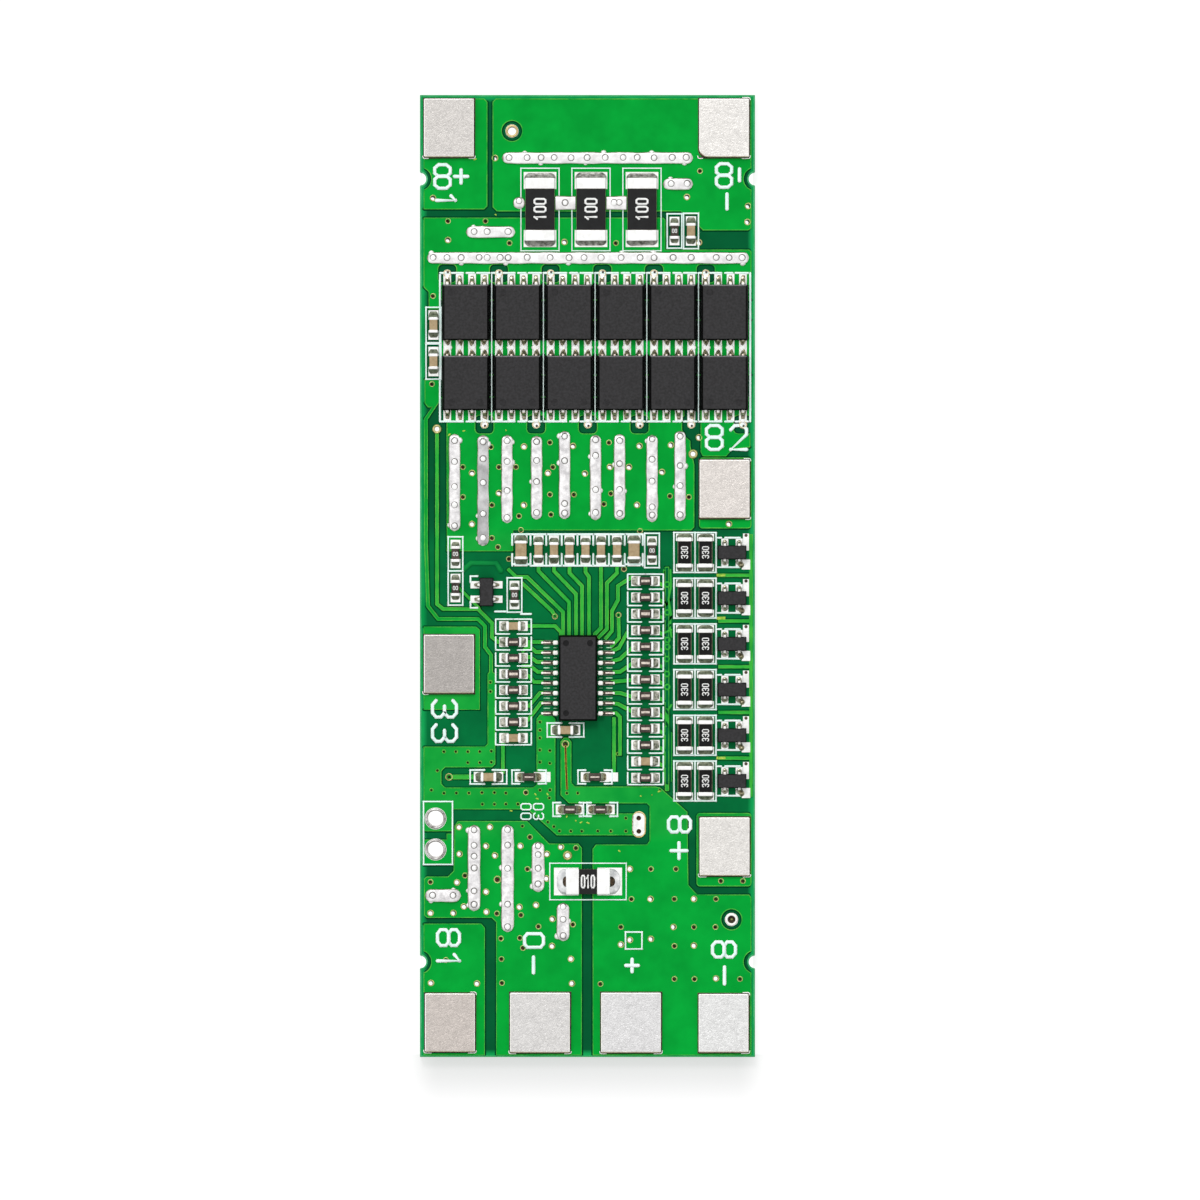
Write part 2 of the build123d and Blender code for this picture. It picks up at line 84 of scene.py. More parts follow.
# Each finish: two colours that a fine noise blends, and a grain that lifts the surface.
# A zone gives its colours over the part of the board that holds the logic, a rim at the board's outline.
finishes = {
    "maskOverCopper": dict(
        colours=((2, 164, 55), (0, 148, 48)), zone=((26, 166, 60), (10, 150, 52)), scale=260,
        roughness=0.45, specular=0.03, bump=0.02, grain=900,
    ),
    "maskOverTrace": dict(
        colours=((62, 184, 62), (40, 164, 58)), scale=500, roughness=0.45, specular=0.05, bump=0.03,
        grain=900,
    ),
    "maskOverLaminate": dict(
        colours=((0, 90, 49), (0, 80, 44)), zone=((0, 112, 57), (0, 98, 51)),
        rim=((20, 160, 84), (4, 142, 70)), scale=260, roughness=0.45, specular=0.03, bump=0.02,
        grain=900,
    ),
    "maskShade": dict(
        colours=((0, 72, 40), (0, 64, 36)), zone=((0, 84, 42), (0, 74, 38)), scale=400,
        roughness=0.5, specular=0.02, bump=0.02, grain=900,
    ),
    "maskFaint": dict(
        colours=((16, 134, 62), (8, 120, 58)), scale=500, roughness=0.45, specular=0.03, bump=0.02,
        grain=900,
    ),
    "maskLip": dict(
        colours=((96, 196, 74), (40, 172, 60)), scale=700, roughness=0.45, specular=0.05, bump=0.02,
        grain=900,
    ),
    "maskBit": dict(
        colours=((206, 222, 98), (140, 190, 60)), scale=3000, roughness=0.5, specular=0.1,
    ),
    "maskTick": dict(
        colours=((196, 236, 206), (96, 176, 120)), scale=4000, roughness=0.5, specular=0.1,
        bump=0.03,
    ),
    "singed": dict(colours=((136, 60, 24), (84, 36, 14)), scale=2500, roughness=0.6, specular=0.1),
    "boardRim": dict(
        colours=((84, 184, 124), (44, 160, 96)), scale=500, roughness=0.6, specular=0.05,
    ),
    "tinnedLand": dict(
        colours=((250, 250, 248), (226, 228, 224)), scale=1500, roughness=0.35, metallic=0.4,
        bump=0.06, grain=1500,
    ),
    "dullLand": dict(
        colours=((84, 104, 84), (40, 62, 44)), scale=2500, roughness=0.4, metallic=0.4, bump=0.06,
        grain=1500,
    ),
    "flowedSolder": dict(
        colours=((247, 246, 246), (218, 216, 216)), scale=1300, roughness=0.36, metallic=0.4,
        bump=0.12, grain=1900,
    ),
    "mottledSolder": dict(
        colours=((246, 244, 244), (198, 196, 197)), scale=1700, roughness=0.38, metallic=0.4,
        bump=0.16, grain=1900,
    ),
    "dullSolder": dict(
        colours=((206, 206, 206), (158, 158, 158)), scale=700, roughness=0.38, metallic=0.5,
        bump=0.12, grain=1200,
    ),
    "solderCrease": dict(
        colours=((150, 146, 142), (96, 94, 90)), scale=1500, roughness=0.45, metallic=0.5,
        grain=2000,
    ),
    "solderLight": dict(
        colours=((255, 250, 250), (238, 226, 226)), scale=1500, roughness=0.36, metallic=0.3,
        grain=2000,
    ),
    "solderDark": dict(
        colours=((196, 186, 176), (140, 132, 120)), scale=1300, roughness=0.4, metallic=0.4,
        grain=2000,
    ),
    # the fillet finishes below blend towards dark olive: solder, with painted shade and painted dark
    # reflection of steep solder
    "filletSolder": dict(
        colours=((206, 196, 160), (70, 66, 44)), scale=3400, roughness=0.3, metallic=0.7, bump=0.1,
        grain=2600,
    ),
    "chipFillet": dict(
        colours=((140, 146, 124), (72, 80, 60)), scale=3200, roughness=0.4, metallic=0.3, bump=0.1,
        grain=2600,
    ),
    "mottledFillet": dict(
        colours=((222, 218, 206), (84, 92, 70)), scale=2600, roughness=0.4, metallic=0.3, bump=0.1,
        grain=2600,
    ),
    "wideFillet": dict(
        colours=((190, 188, 182), (92, 92, 84)), scale=2600, roughness=0.4, metallic=0.4, bump=0.14,
        grain=2000,
    ),
    "paleFillet": dict(
        colours=((246, 246, 246), (190, 192, 194)), scale=1100, roughness=0.4, metallic=0.3,
        bump=0.1, grain=1500,
    ),
    "endCap": dict(
        colours=((250, 250, 249), (234, 234, 232)), scale=1500, roughness=0.4, metallic=0.3,
        bump=0.04, grain=2200,
    ),
    # leadTop: near white, a painted highlight on the tops of leads; the lower tooling rim takes it too
    "leadTop": dict(
        colours=((255, 255, 252), (248, 244, 238)), scale=2500, roughness=0.3, metallic=0.05,
        bump=0.02,
    ),
    "leadShank": dict(
        colours=((206, 198, 176), (138, 132, 110)), scale=3200, roughness=0.24, metallic=1.0,
        bump=0.04,
    ),
    "leadFoot": dict(
        colours=((255, 240, 234), (224, 200, 190)), scale=2500, roughness=0.35, metallic=0.3,
        bump=0.03,
    ),
    "footShade": dict(
        colours=((104, 84, 66), (40, 34, 28)), scale=3000, roughness=0.4, metallic=0.4,
    ),
    "viaRim": dict(
        colours=((214, 200, 140), (140, 150, 80)), scale=2000, roughness=0.4, metallic=0.4,
    ),
    "coveredRim": dict(
        colours=((140, 178, 76), (52, 156, 60)), scale=2400, roughness=0.45, specular=0.05,
        bump=0.03,
    ),
    "goldRim": dict(
        colours=((232, 210, 150), (206, 180, 116)), scale=1500, roughness=0.35, metallic=0.4,
    ),
    # dark resin, and painted shade laid where holes and pits would be dark
    "holeWall": dict(
        colours=((92, 70, 48), (24, 18, 12)), scale=3500, roughness=0.6, metallic=0.2, bump=0.02,
    ),
    "viaWall": dict(
        colours=((170, 132, 100), (62, 42, 30)), scale=3500, roughness=0.6, metallic=0.2, bump=0.02,
    ),
    "deepShadow": dict(
        colours=((10, 20, 14), (4, 9, 6)), scale=2000, roughness=0.8, specular=0.05, bump=0.02,
    ),
    "eyeletRim": dict(
        colours=((222, 220, 218), (134, 128, 124)), scale=1700, roughness=0.35, metallic=0.6,
        bump=0.08, grain=1500,
    ),
    # a painted shade round the tabs and along their right and lower edges
    "tabSeam": dict(colours=((74, 50, 38), (30, 22, 18)), scale=1500, roughness=0.6, metallic=0.2),
    "tabEdge": dict(
        colours=((255, 252, 248), (240, 234, 228)), scale=2500, roughness=0.4, metallic=0.2,
        bump=0.03,
    ),
    "tabLowerEdge": dict(
        colours=((206, 192, 168), (170, 152, 124)), scale=2500, roughness=0.4, metallic=0.3,
        bump=0.03,
    ),
    "cornerSolder": dict(
        colours=((255, 255, 253), (236, 238, 234)), scale=1500, roughness=0.35, metallic=0.1,
        bump=0.03, grain=1500,
    ),
    "moulding": dict(
        colours=((45, 44, 46), (30, 29, 30)), scale=4200, roughness=0.62, specular=0.3, bump=0.1,
        grain=5000,
    ),
    "mouldingSide": dict(
        colours=((9, 9, 9), (4, 4, 4)), scale=900, roughness=0.7, specular=0.06, bump=0.06,
        grain=4200,
    ),
    "mouldingEdge": dict(
        colours=((124, 124, 125), (98, 98, 99)), scale=3000, roughness=0.5, specular=0.35,
        grain=4200,
    ),
    "mouldingMark": dict(
        colours=((24, 24, 25), (15, 15, 16)), scale=2500, roughness=0.6, specular=0.15, bump=0.06,
        grain=4200,
    ),
    "mouldingDimple": dict(
        colours=((40, 39, 41), (26, 25, 26)), scale=4200, roughness=0.6, specular=0.25, bump=0.06,
        grain=4200,
    ),
    "thickFilm": dict(
        colours=((20, 21, 22), (12, 12, 13)), scale=1500, roughness=0.4, specular=0.22, grain=3500,
    ),
    "glazedFilm": dict(
        colours=((12, 12, 13), (5, 5, 5)), scale=1500, roughness=0.35, specular=0.14, grain=3500,
    ),
    "ceramicEdge": dict(
        colours=((168, 160, 138), (118, 110, 90)), scale=2000, roughness=0.6, specular=0.2,
        grain=3500,
    ),
    "capacitorCeramic": dict(
        colours=((178, 157, 122), (158, 136, 102)), scale=2600, roughness=0.5, specular=0.25,
        bump=0.06, grain=3000,
    ),
    "chipBody": dict(
        colours=((82, 72, 64), (44, 38, 34)), scale=1800, roughness=0.45, specular=0.2, grain=3000,
    ),
    "chipStripe": dict(
        colours=((232, 220, 208), (182, 168, 156)), scale=4200, roughness=0.5, specular=0.2,
        bump=0.04, grain=3000,
    ),
    "printInk": dict(
        colours=((244, 255, 253), (222, 250, 242)), scale=1400, roughness=0.6, specular=0.1,
        bump=0.03, grain=3500,
    ),
    "numberInk": dict(
        colours=((250, 250, 248), (230, 232, 230)), scale=2200, roughness=0.6, specular=0.1,
        bump=0.02, grain=3500,
    ),
}
logicZone = {"lowRow": 222, "highRow": 522, "fade": 10}
# how far in from the board's outline its lighter rim starts and is full
lightRim = {"starts": 0.75 * mm, "full": 0.3 * mm}


def addNode(tree, kind, inputs=None, **settings):
    node = tree.nodes.new(kind)
    for key, value in settings.items():
        setattr(node, key, value)
    for key, value in (inputs or {}).items():
        if isinstance(value, bpy.types.NodeSocket):
            tree.links.new(value, node.inputs[key])
        else:
            node.inputs[key].default_value = value
    return node


def calc(tree, operation, first, second=0.5):
    return addNode(tree, "ShaderNodeMath", {0: first, 1: second}, operation=operation).outputs[0]


def mapRange(tree, value, low, high, start=0.0, end=1.0, smooth=False):
    ramp = addNode(tree, "ShaderNodeMapRange", {
        "Value": value, "From Min": low, "From Max": high, "To Min": start, "To Max": end,
    }, interpolation_type="SMOOTHSTEP" if smooth else "LINEAR")
    return ramp.outputs["Result"]


def noise(tree, place, scale, detail, roughness=0.6, distortion=0.0):
    return addNode(tree, "ShaderNodeTexNoise", {
        "Vector": place, "Scale": scale, "Detail": detail, "Roughness": roughness, "Distortion": distortion,
    }).outputs[0]


def mixed(tree, amount, first, second, kind="RGBA"):
    both = {"Factor": amount, "A": first, "B": second}
    return addNode(tree, "ShaderNodeMix", both, data_type=kind).outputs["Result"]


def blendColours(tree, amount, colours):
    return mixed(tree, amount, rgb(*colours[0]), rgb(*colours[1]))


def zoneMask(tree, place):
    # 1 over the logic, 0 over the power end and the terminal end
    y = addNode(tree, "ShaderNodeSeparateXYZ", {"Vector": place}).outputs["Y"]
    fade = logicZone["fade"]
    steps = []
    for row, ends in ((logicZone["lowRow"], (0.0, 1.0)), (logicZone["highRow"], (1.0, 0.0))):
        steps.append(mapRange(tree, y, at(0, row - fade).y, at(0, row + fade).y, *ends, smooth=True))
    return calc(tree, "MULTIPLY", *steps)


def rimMask(tree, place):
    # 1 at the board's outline, falling to 0 a little way in
    parts = addNode(tree, "ShaderNodeSeparateXYZ", {"Vector": place}).outputs
    steps = []
    for axis, limit in (("X", boardHigh.x), ("Y", boardHigh.y)):
        size = calc(tree, "ABSOLUTE", parts[axis])
        steps.append(mapRange(tree, size, limit - lightRim["starts"], limit - lightRim["full"]))
    return calc(tree, "MAXIMUM", *steps)


def startMaterial(name):
    material = bpy.data.materials.new(name)
    material.use_nodes = True
    tree = material.node_tree
    place = addNode(tree, "ShaderNodeTexCoord").outputs["Object"]
    return material, tree, tree.nodes["Principled BSDF"], place


def setShader(shader, colour, roughness, metallic=0.0, specular=0.5):
    shader.id_data.links.new(colour, shader.inputs["Base Color"])
    shader.inputs["Roughness"].default_value = roughness
    shader.inputs["Metallic"].default_value = metallic
    shader.inputs["Specular IOR Level"].default_value = specular


def liftSurface(tree, shader, height, strength):
    bump = addNode(tree, "ShaderNodeBump", {"Height": height, "Strength": strength, "Distance": 0.2 * mm})
    tree.links.new(bump.outputs["Normal"], shader.inputs["Normal"])


def makeFinish(name, look):
    look = {**plainFinish, **look}
    material, tree, shader, place = startMaterial(name)
    amount = mapRange(tree, noise(tree, place, look["scale"], 3.0), 0.35, 0.65)
    colour = blendColours(tree, amount, look["colours"])
    for key, mask in (("zone", zoneMask), ("rim", rimMask)):
        if key in look:
            colour = mixed(tree, mask(tree, place), colour, blendColours(tree, amount, look[key]))
    setShader(shader, colour, look["roughness"], look["metallic"], look["specular"])
    liftSurface(tree, shader, noise(tree, place, look["grain"], 4.0, 0.65), look["bump"])
    return material


finish = {name: makeFinish(name, look) for name, look in finishes.items()}
print("finishes made:", len(finish))


def makePiece(name, mesh, materials=()):
    piece = bpy.data.objects.new(name, mesh)
    bpy.context.collection.objects.link(piece)
    for material in materials:
        mesh.materials.append(finish[material])
    return piece


def bake(piece):
    # the evaluated mesh takes the place of the modifiers
    bpy.context.view_layer.update()
    solid = piece.evaluated_get(bpy.context.evaluated_depsgraph_get())
    mesh = bpy.data.meshes.new_from_object(solid)
    old = piece.data
    piece.modifiers.clear()
    piece.data = mesh
    bpy.data.meshes.remove(old)
    return piece


def mergedMesh(node):
    # a CAD node's triangles, joined at their shared corners
    bm = bmesh.new()
    bm.from_mesh(bpy.data.objects[node].data)
    bmesh.ops.remove_doubles(bm, verts=bm.verts, dist=1e-7)
    return bm


def solidBoxes(node):
    # the box of each separate solid in a CAD node, from the lower left upwards
    bm = mergedMesh(node)
    boxes, seen = [], set()
    for start in bm.verts:
        if start.index in seen:
            continue
        low, high = start.co.copy(), start.co.copy()
        stack = [start]
        seen.add(start.index)
        while stack:
            vert = stack.pop()
            for k in range(3):
                low[k] = min(low[k], vert.co[k])
                high[k] = max(high[k], vert.co[k])
            for edge in vert.link_edges:
                other = edge.other_vert(vert)
                if other.index not in seen:
                    seen.add(other.index)
                    stack.append(other)
        boxes.append((low, high))
    bm.free()
    return sorted(boxes, key=lambda b: (round(b[0].y, 5), b[0].x))


def addBlock(bm, low, high, slot=0, soft=0.0, segments=2, taper=(0.0, 0.0)):
    # a block with softened edges; taper draws its top in along X and along Y
    made = bmesh.ops.create_cube(bm, size=1.0)["verts"]
    middle, size = (Vector(low) + Vector(high)) / 2, Vector(high) - Vector(low)
    for vert in made:
        pull = taper if vert.co.z > 0 else (0.0, 0.0)
        vert.co = Vector((
            middle.x + vert.co.x * (size.x - 2 * pull[0]),
            middle.y + vert.co.y * (size.y - 2 * pull[1]),
            middle.z + vert.co.z * size.z,
        ))
    faces = {face for vert in made for face in vert.link_faces}
    for face in faces:
        face.material_index = slot
    if soft:
        edges = list({edge for face in faces for edge in face.edges})
        softened = bmesh.ops.bevel(
            bm, geom=edges, offset=soft, segments=segments, affect="EDGES", profile=0.5,
        )
        for face in softened["faces"]:
            face.material_index = slot
            face.smooth = True


def addDisc(bm, centre, radius, thickness, slot, sides=24):
    made = bmesh.ops.create_cone(
        bm, cap_ends=True, segments=sides, radius1=radius, radius2=radius * 0.92,
        depth=thickness, matrix=Matrix.Translation(centre),
    )["verts"]
    for face in {f for v in made for f in v.link_faces}:
        face.material_index = slot


def addHeap(bm, start, length, half, rise, pinch=None, turn=0.0, slot=0, steps=(8, 8)):
    # a closed heap of solder that runs from its start along the turned X axis:
    # rise(u, v) high and pinch(u) times half wide, with u from 0 to 1 and v from -1 to 1
    spin = Matrix.Rotation(turn, 3, "Z")
    rows = []
    for i in range(steps[0] + 1):
        u = i / steps[0]
        wide = half * (pinch(u) if pinch else 1.0)
        row = []
        for j in range(steps[1] + 1):
            v = 2 * j / steps[1] - 1
            row.append(bm.verts.new(Vector(start) + spin @ Vector((u * length, v * wide, rise(u, v)))))
        rows.append(row)
    for lower, upper in zip(rows, rows[1:]):
        for j in range(steps[1]):
            face = bm.faces.new((lower[j], upper[j], upper[j + 1], lower[j + 1]))
            face.material_index = slot
            face.smooth = True
    rim = [row[0] for row in rows] + rows[-1][1:] + [row[-1] for row in rows[-2::-1]] + rows[0][-2:0:-1]
    foot = [bm.verts.new((vert.co.x, vert.co.y, start[2] - 0.02 * mm)) for vert in rim]
    for i in range(len(rim)):
        k = (i + 1) % len(rim)
        bm.faces.new((rim[k], rim[i], foot[i], foot[k])).material_index = slot
    bm.faces.new(list(reversed(foot))).material_index = slot


def crown(height, power=0.5):
    # a rise that falls to nothing on all four sides
    return lambda u, v: height * max(math.sin(math.pi * u) * math.cos(math.pi / 2 * v), 0.0) ** power


def roundBoth(u):
    return max(math.sin(math.pi * min(max(u, 0.0), 1.0)) ** 0.45, 0.3)


def tent(height, power=1.3):
    # a rise that is highest at its start and falls straight to both sides and to its far end
    return lambda u, v: height * (1 - u) ** power * (1 - abs(v))


def narrowing(tip):
    return lambda u: 1 - (1 - tip) * u


def diamond(u):
    # widest in the middle, drawn in at both ends
    return 0.35 + 0.65 * math.sin(math.pi * min(max(u, 0.0), 1.0)) ** 1.4


def arched(tip):
    # full width at the start, rounding in to its tip
    return lambda u: math.sqrt(1 - (1 - tip * tip) * u ** 2.5)


def finishMesh(bm, name, materials, move=None, turn=0.0):
    if turn:
        bmesh.ops.rotate(bm, verts=bm.verts, cent=(0, 0, 0), matrix=Matrix.Rotation(turn, 3, "Z"))
    if move is not None:
        bmesh.ops.translate(bm, verts=bm.verts, vec=move)
    bmesh.ops.recalc_face_normals(bm, faces=bm.faces)
    mesh = bpy.data.meshes.new(name)
    bm.to_mesh(mesh)
    bm.free()
    return makePiece(name, mesh, materials)


def lineMesh(name, lines, swell=None):
    # polylines as loose edges: each line is its points and whether it closes
    verts, edges = [], []
    for points, closed in lines:
        first = len(verts)
        verts += [tuple(p) for p in points]
        edges += [(first + i, first + i + 1) for i in range(len(points) - 1)]
        if closed:
            edges.append((len(verts) - 1, first))
    mesh = bpy.data.meshes.new(name)
    mesh.from_pydata(verts, edges, [])
    if swell is not None:
        mesh.attributes.new("swell", "FLOAT", "POINT").data.foreach_set("value", swell)
    return mesh


def startTree(name, sizes):
    # a Geometry Nodes tree with a named input for each size and a material at its end
    kinds = {float: "NodeSocketFloat", int: "NodeSocketInt", str: "NodeSocketObject"}
    tree = bpy.data.node_groups.new(name, "GeometryNodeTree")
    tree.interface.new_socket("Geometry", in_out="INPUT", socket_type="NodeSocketGeometry")
    for label, value in sizes.items():
        socket = tree.interface.new_socket(label, in_out="INPUT", socket_type=kinds[type(value)])
        if not isinstance(value, str):
            socket.default_value = value
    tree.interface.new_socket("Material", in_out="INPUT", socket_type="NodeSocketMaterial")
    tree.interface.new_socket("Geometry", in_out="OUTPUT", socket_type="NodeSocketGeometry")
    return tree, tree.nodes.new("NodeGroupInput").outputs


def endTree(tree, given, geometry):
    smooth = addNode(tree, "GeometryNodeSetShadeSmooth", {"Geometry": geometry})
    real = addNode(tree, "GeometryNodeRealizeInstances", {"Geometry": smooth.outputs[0]})
    coloured = addNode(tree, "GeometryNodeSetMaterial", {
        "Geometry": real.outputs[0], "Material": given["Material"],
    })
    end = tree.nodes.new("NodeGroupOutput")
    tree.links.new(coloured.outputs[0], end.inputs[0])
    return tree


def runTree(piece, tree, sizes):
    modifier = piece.modifiers.new(tree.name, "NODES")
    modifier.node_group = tree
    for item in tree.interface.items_tree:
        if item.in_out == "INPUT" and item.name in sizes:
            value = sizes[item.name]
            modifier[item.identifier] = finish[value] if isinstance(value, str) else value
    return bake(piece)


def linePiece(name, lines, tree, sizes, swell=None):
    return runTree(makePiece(name, lineMesh(name, lines, swell)), tree, sizes)


def pointPiece(name, places, swell, tree, sizes):
    # what the tree puts on every point; a point's swell is its scale, or the turn of a lead
    points = lineMesh(name, [([place], False) for place in places], swell)
    return runTree(makePiece(name, points), tree, sizes)


def levelCurve(tree, curve):
    # keeps the section upright along the whole line
    return addNode(tree, "GeometryNodeSetCurveNormal", {"Curve": curve}, mode="Z_UP").outputs[0]


def section(tree, width, height):
    return addNode(tree, "GeometryNodeCurvePrimitiveQuadrilateral", {
        "Width": width, "Height": height,
    }).outputs[0]


def circle(tree, sides, radius):
    return addNode(tree, "GeometryNodeCurvePrimitiveCircle", {
        "Resolution": sides, "Radius": radius,
    }).outputs[0]


def alongCurve(tree, curve, profile, **more):
    return addNode(tree, "GeometryNodeCurveToMesh", {
        "Curve": curve, "Profile Curve": profile, **more,
    }).outputs[0]


def onPoints(tree, geometry, shape, **more):
    points = addNode(tree, "GeometryNodeMeshToPoints", {"Mesh": geometry})
    return addNode(tree, "GeometryNodeInstanceOnPoints", {
        "Points": points.outputs[0], "Instance": shape, **more,
    }).outputs[0]


def roundedCorners(tree, curve, radius, count):
    return addNode(tree, "GeometryNodeFilletCurve", {
        "Curve": curve, "Radius": radius, "Count": count, "Limit Radius": True,
    }, mode="POLY").outputs[0]


def swellOf(tree):
    named = addNode(tree, "GeometryNodeInputNamedAttribute", {"Name": "swell"}, data_type="FLOAT")
    return named.outputs[0]


def curveOf(tree, given):
    return addNode(tree, "GeometryNodeMeshToCurve", {"Mesh": given["Geometry"]}).outputs[0]


def makeStrokeTree():
    # ink: a flat ribbon along every line, with a round dot on each of its corners and ends
    tree, given = startTree("printStroke", {"Width": 0.16 * mm, "Thickness": 0.02 * mm, "Dot sides": 10})
    flat = section(tree, given["Width"], given["Thickness"])
    ribbon = alongCurve(tree, levelCurve(tree, curveOf(tree, given)), flat, **{"Fill Caps": True})
    dot = addNode(tree, "GeometryNodeMeshCylinder", {
        "Vertices": given["Dot sides"], "Radius": calc(tree, "MULTIPLY", given["Width"]),
        "Depth": calc(tree, "MULTIPLY", given["Thickness"], 0.8),
    })
    dots = addNode(tree, "GeometryNodeInstanceOnPoints", {
        "Points": given["Geometry"], "Instance": dot.outputs[0],
    })
    both = addNode(tree, "GeometryNodeJoinGeometry")
    for shape in (ribbon, dots.outputs[0]):
        tree.links.new(shape, both.inputs[0])
    return endTree(tree, given, both.outputs[0])


def makeLipTree():
    # a round lip along every line
    tree, given = startTree("edgeLip", {"Radius": 0.05 * mm, "Sides": 6})
    wire = circle(tree, given["Sides"], given["Radius"])
    lip = alongCurve(tree, levelCurve(tree, curveOf(tree, given)), wire, **{"Fill Caps": True})
    return endTree(tree, given, lip)


def makeRingTree():
    # a ring on every point, scaled by the point's swell
    tree, given = startTree("holeRim", {"Ring radius": 0.3 * mm, "Wire radius": 0.07 * mm, "Sides": 16})
    hoop, wire = circle(tree, given["Sides"], given["Ring radius"]), circle(tree, 6, given["Wire radius"])
    ring = alongCurve(tree, hoop, wire)
    return endTree(tree, given, onPoints(tree, given["Geometry"], ring, Scale=swellOf(tree)))


def makeDomeTree():
    # a low dome on every point, scaled by the point's swell
    tree, given = startTree("solderDome", {"Radius": 0.3 * mm, "Flatness": 0.3, "Sides": 14})
    ball = addNode(tree, "GeometryNodeMeshUVSphere", {
        "Segments": given["Sides"], "Rings": 8, "Radius": given["Radius"],
    })
    squash = addNode(tree, "ShaderNodeCombineXYZ", {"X": 1.0, "Y": 1.0, "Z": given["Flatness"]})
    dome = addNode(tree, "GeometryNodeTransform", {"Geometry": ball.outputs[0], "Scale": squash.outputs[0]})
    return endTree(tree, given, onPoints(tree, given["Geometry"], dome.outputs[0], Scale=swellOf(tree)))


def makeSolderTree():
    # solder run along every line: a flat crown with round shoulders, wavy, scaled by each point's swell
    tree, given = startTree("solderRun", {
        "Width": 1.2 * mm, "Height": 0.3 * mm, "Shoulder": 0.2 * mm,
        "Waviness": 0.05 * mm, "Wave scale": 900.0, "Seed": 3,
    })
    swell = swellOf(tree)
    fat = addNode(tree, "GeometryNodeSetCurveRadius", {"Curve": curveOf(tree, given), "Radius": swell})
    box = section(tree, given["Width"], calc(tree, "MULTIPLY", given["Height"], 2.0))
    profile = roundedCorners(tree, box, given["Shoulder"], 4)
    heap = alongCurve(tree, levelCurve(tree, fat.outputs[0]), profile, Scale=swell, **{"Fill Caps": True})
    wave = addNode(tree, "ShaderNodeTexNoise", {
        "Scale": given["Wave scale"], "Detail": 2.0, "W": given["Seed"],
    }, noise_dimensions="4D")
    middle = addNode(tree, "ShaderNodeVectorMath", {
        0: wave.outputs["Color"], 1: (0.5, 0.5, 0.5),
    }, operation="SUBTRACT")
    push = addNode(tree, "ShaderNodeVectorMath", {
        0: middle.outputs[0], "Scale": given["Waviness"],
    }, operation="SCALE")
    wavy = addNode(tree, "GeometryNodeSetPosition", {"Geometry": heap, "Offset": push.outputs[0]})
    return endTree(tree, given, wavy.outputs[0])


def makeLeadTree():
    # the same lead on every point, turned by the point's swell
    tree, given = startTree("leadRow", {"Lead": ""})
    lead = addNode(tree, "GeometryNodeObjectInfo", {"Object": given["Lead"]}).outputs["Geometry"]
    angle = addNode(tree, "ShaderNodeCombineXYZ", {"Z": swellOf(tree)}).outputs[0]
    return endTree(tree, given, onPoints(tree, given["Geometry"], lead, Rotation=angle))


printStroke, edgeLip, holeRim = makeStrokeTree(), makeLipTree(), makeRingTree()
solderDome, solderRun, leadRow = makeDomeTree(), makeSolderTree(), makeLeadTree()
print("node trees made")


board = {
    "openVia": 0.235 * mm,
    "smallVia": 0.195 * mm,
    "coveredVia": 0.13 * mm,
    "largeVia": 0.25 * mm,
    "viaFloor": 1.1 * mm,
    "viaSides": 14,
    "viaLean": (0.03 * mm, 0.11 * mm),
    "lip": 0.05 * mm,
    "shade": 0.34 * mm,
    "rimLip": 0.10 * mm,
    "tabSeam": 0.14 * mm,
    "traceWidth": 0.55 * mm,
    "plainRim": 0.62 * mm,
}
# closed holes between these rows are covered by the mask and show no metal, save for the bare ones
coveredRows = (222, 480)
bareVias = [(135, 440.5), (198.5, 442), (106, 264.5)]
openVias = [
    (75, 899), (13, 859), (28, 817), (267, 860), (328, 851), (327.5, 835), (144.5, 815), (279, 814.5),
    (104, 610.5), (153, 611), (219.5, 611), (251, 612), (279, 619.5), (52, 584), (128, 584), (165, 583.5),
    (242, 585), (190, 590), (209, 590), (79, 564), (104, 552), (217, 552), (52, 533), (309, 533),
    (39, 230), (70, 230), (66, 211), (100.5, 211), (141, 210), (39.5, 203), (75, 201.5), (127, 203),
    (126.5, 178.5), (66, 165), (44, 150.5), (10.5, 144), (33.5, 144), (66.5, 145), (99.5, 150), (116, 152),
    (132.5, 138), (132, 111), (151, 98), (11, 74), (57, 73.5), (152, 73.5), (37, 174.5), (210, 188),
    (230.5, 158), (274, 158), (253.5, 130), (210, 117), (231, 118), (201, 112.5), (274, 111.5), (296, 78.5),
]
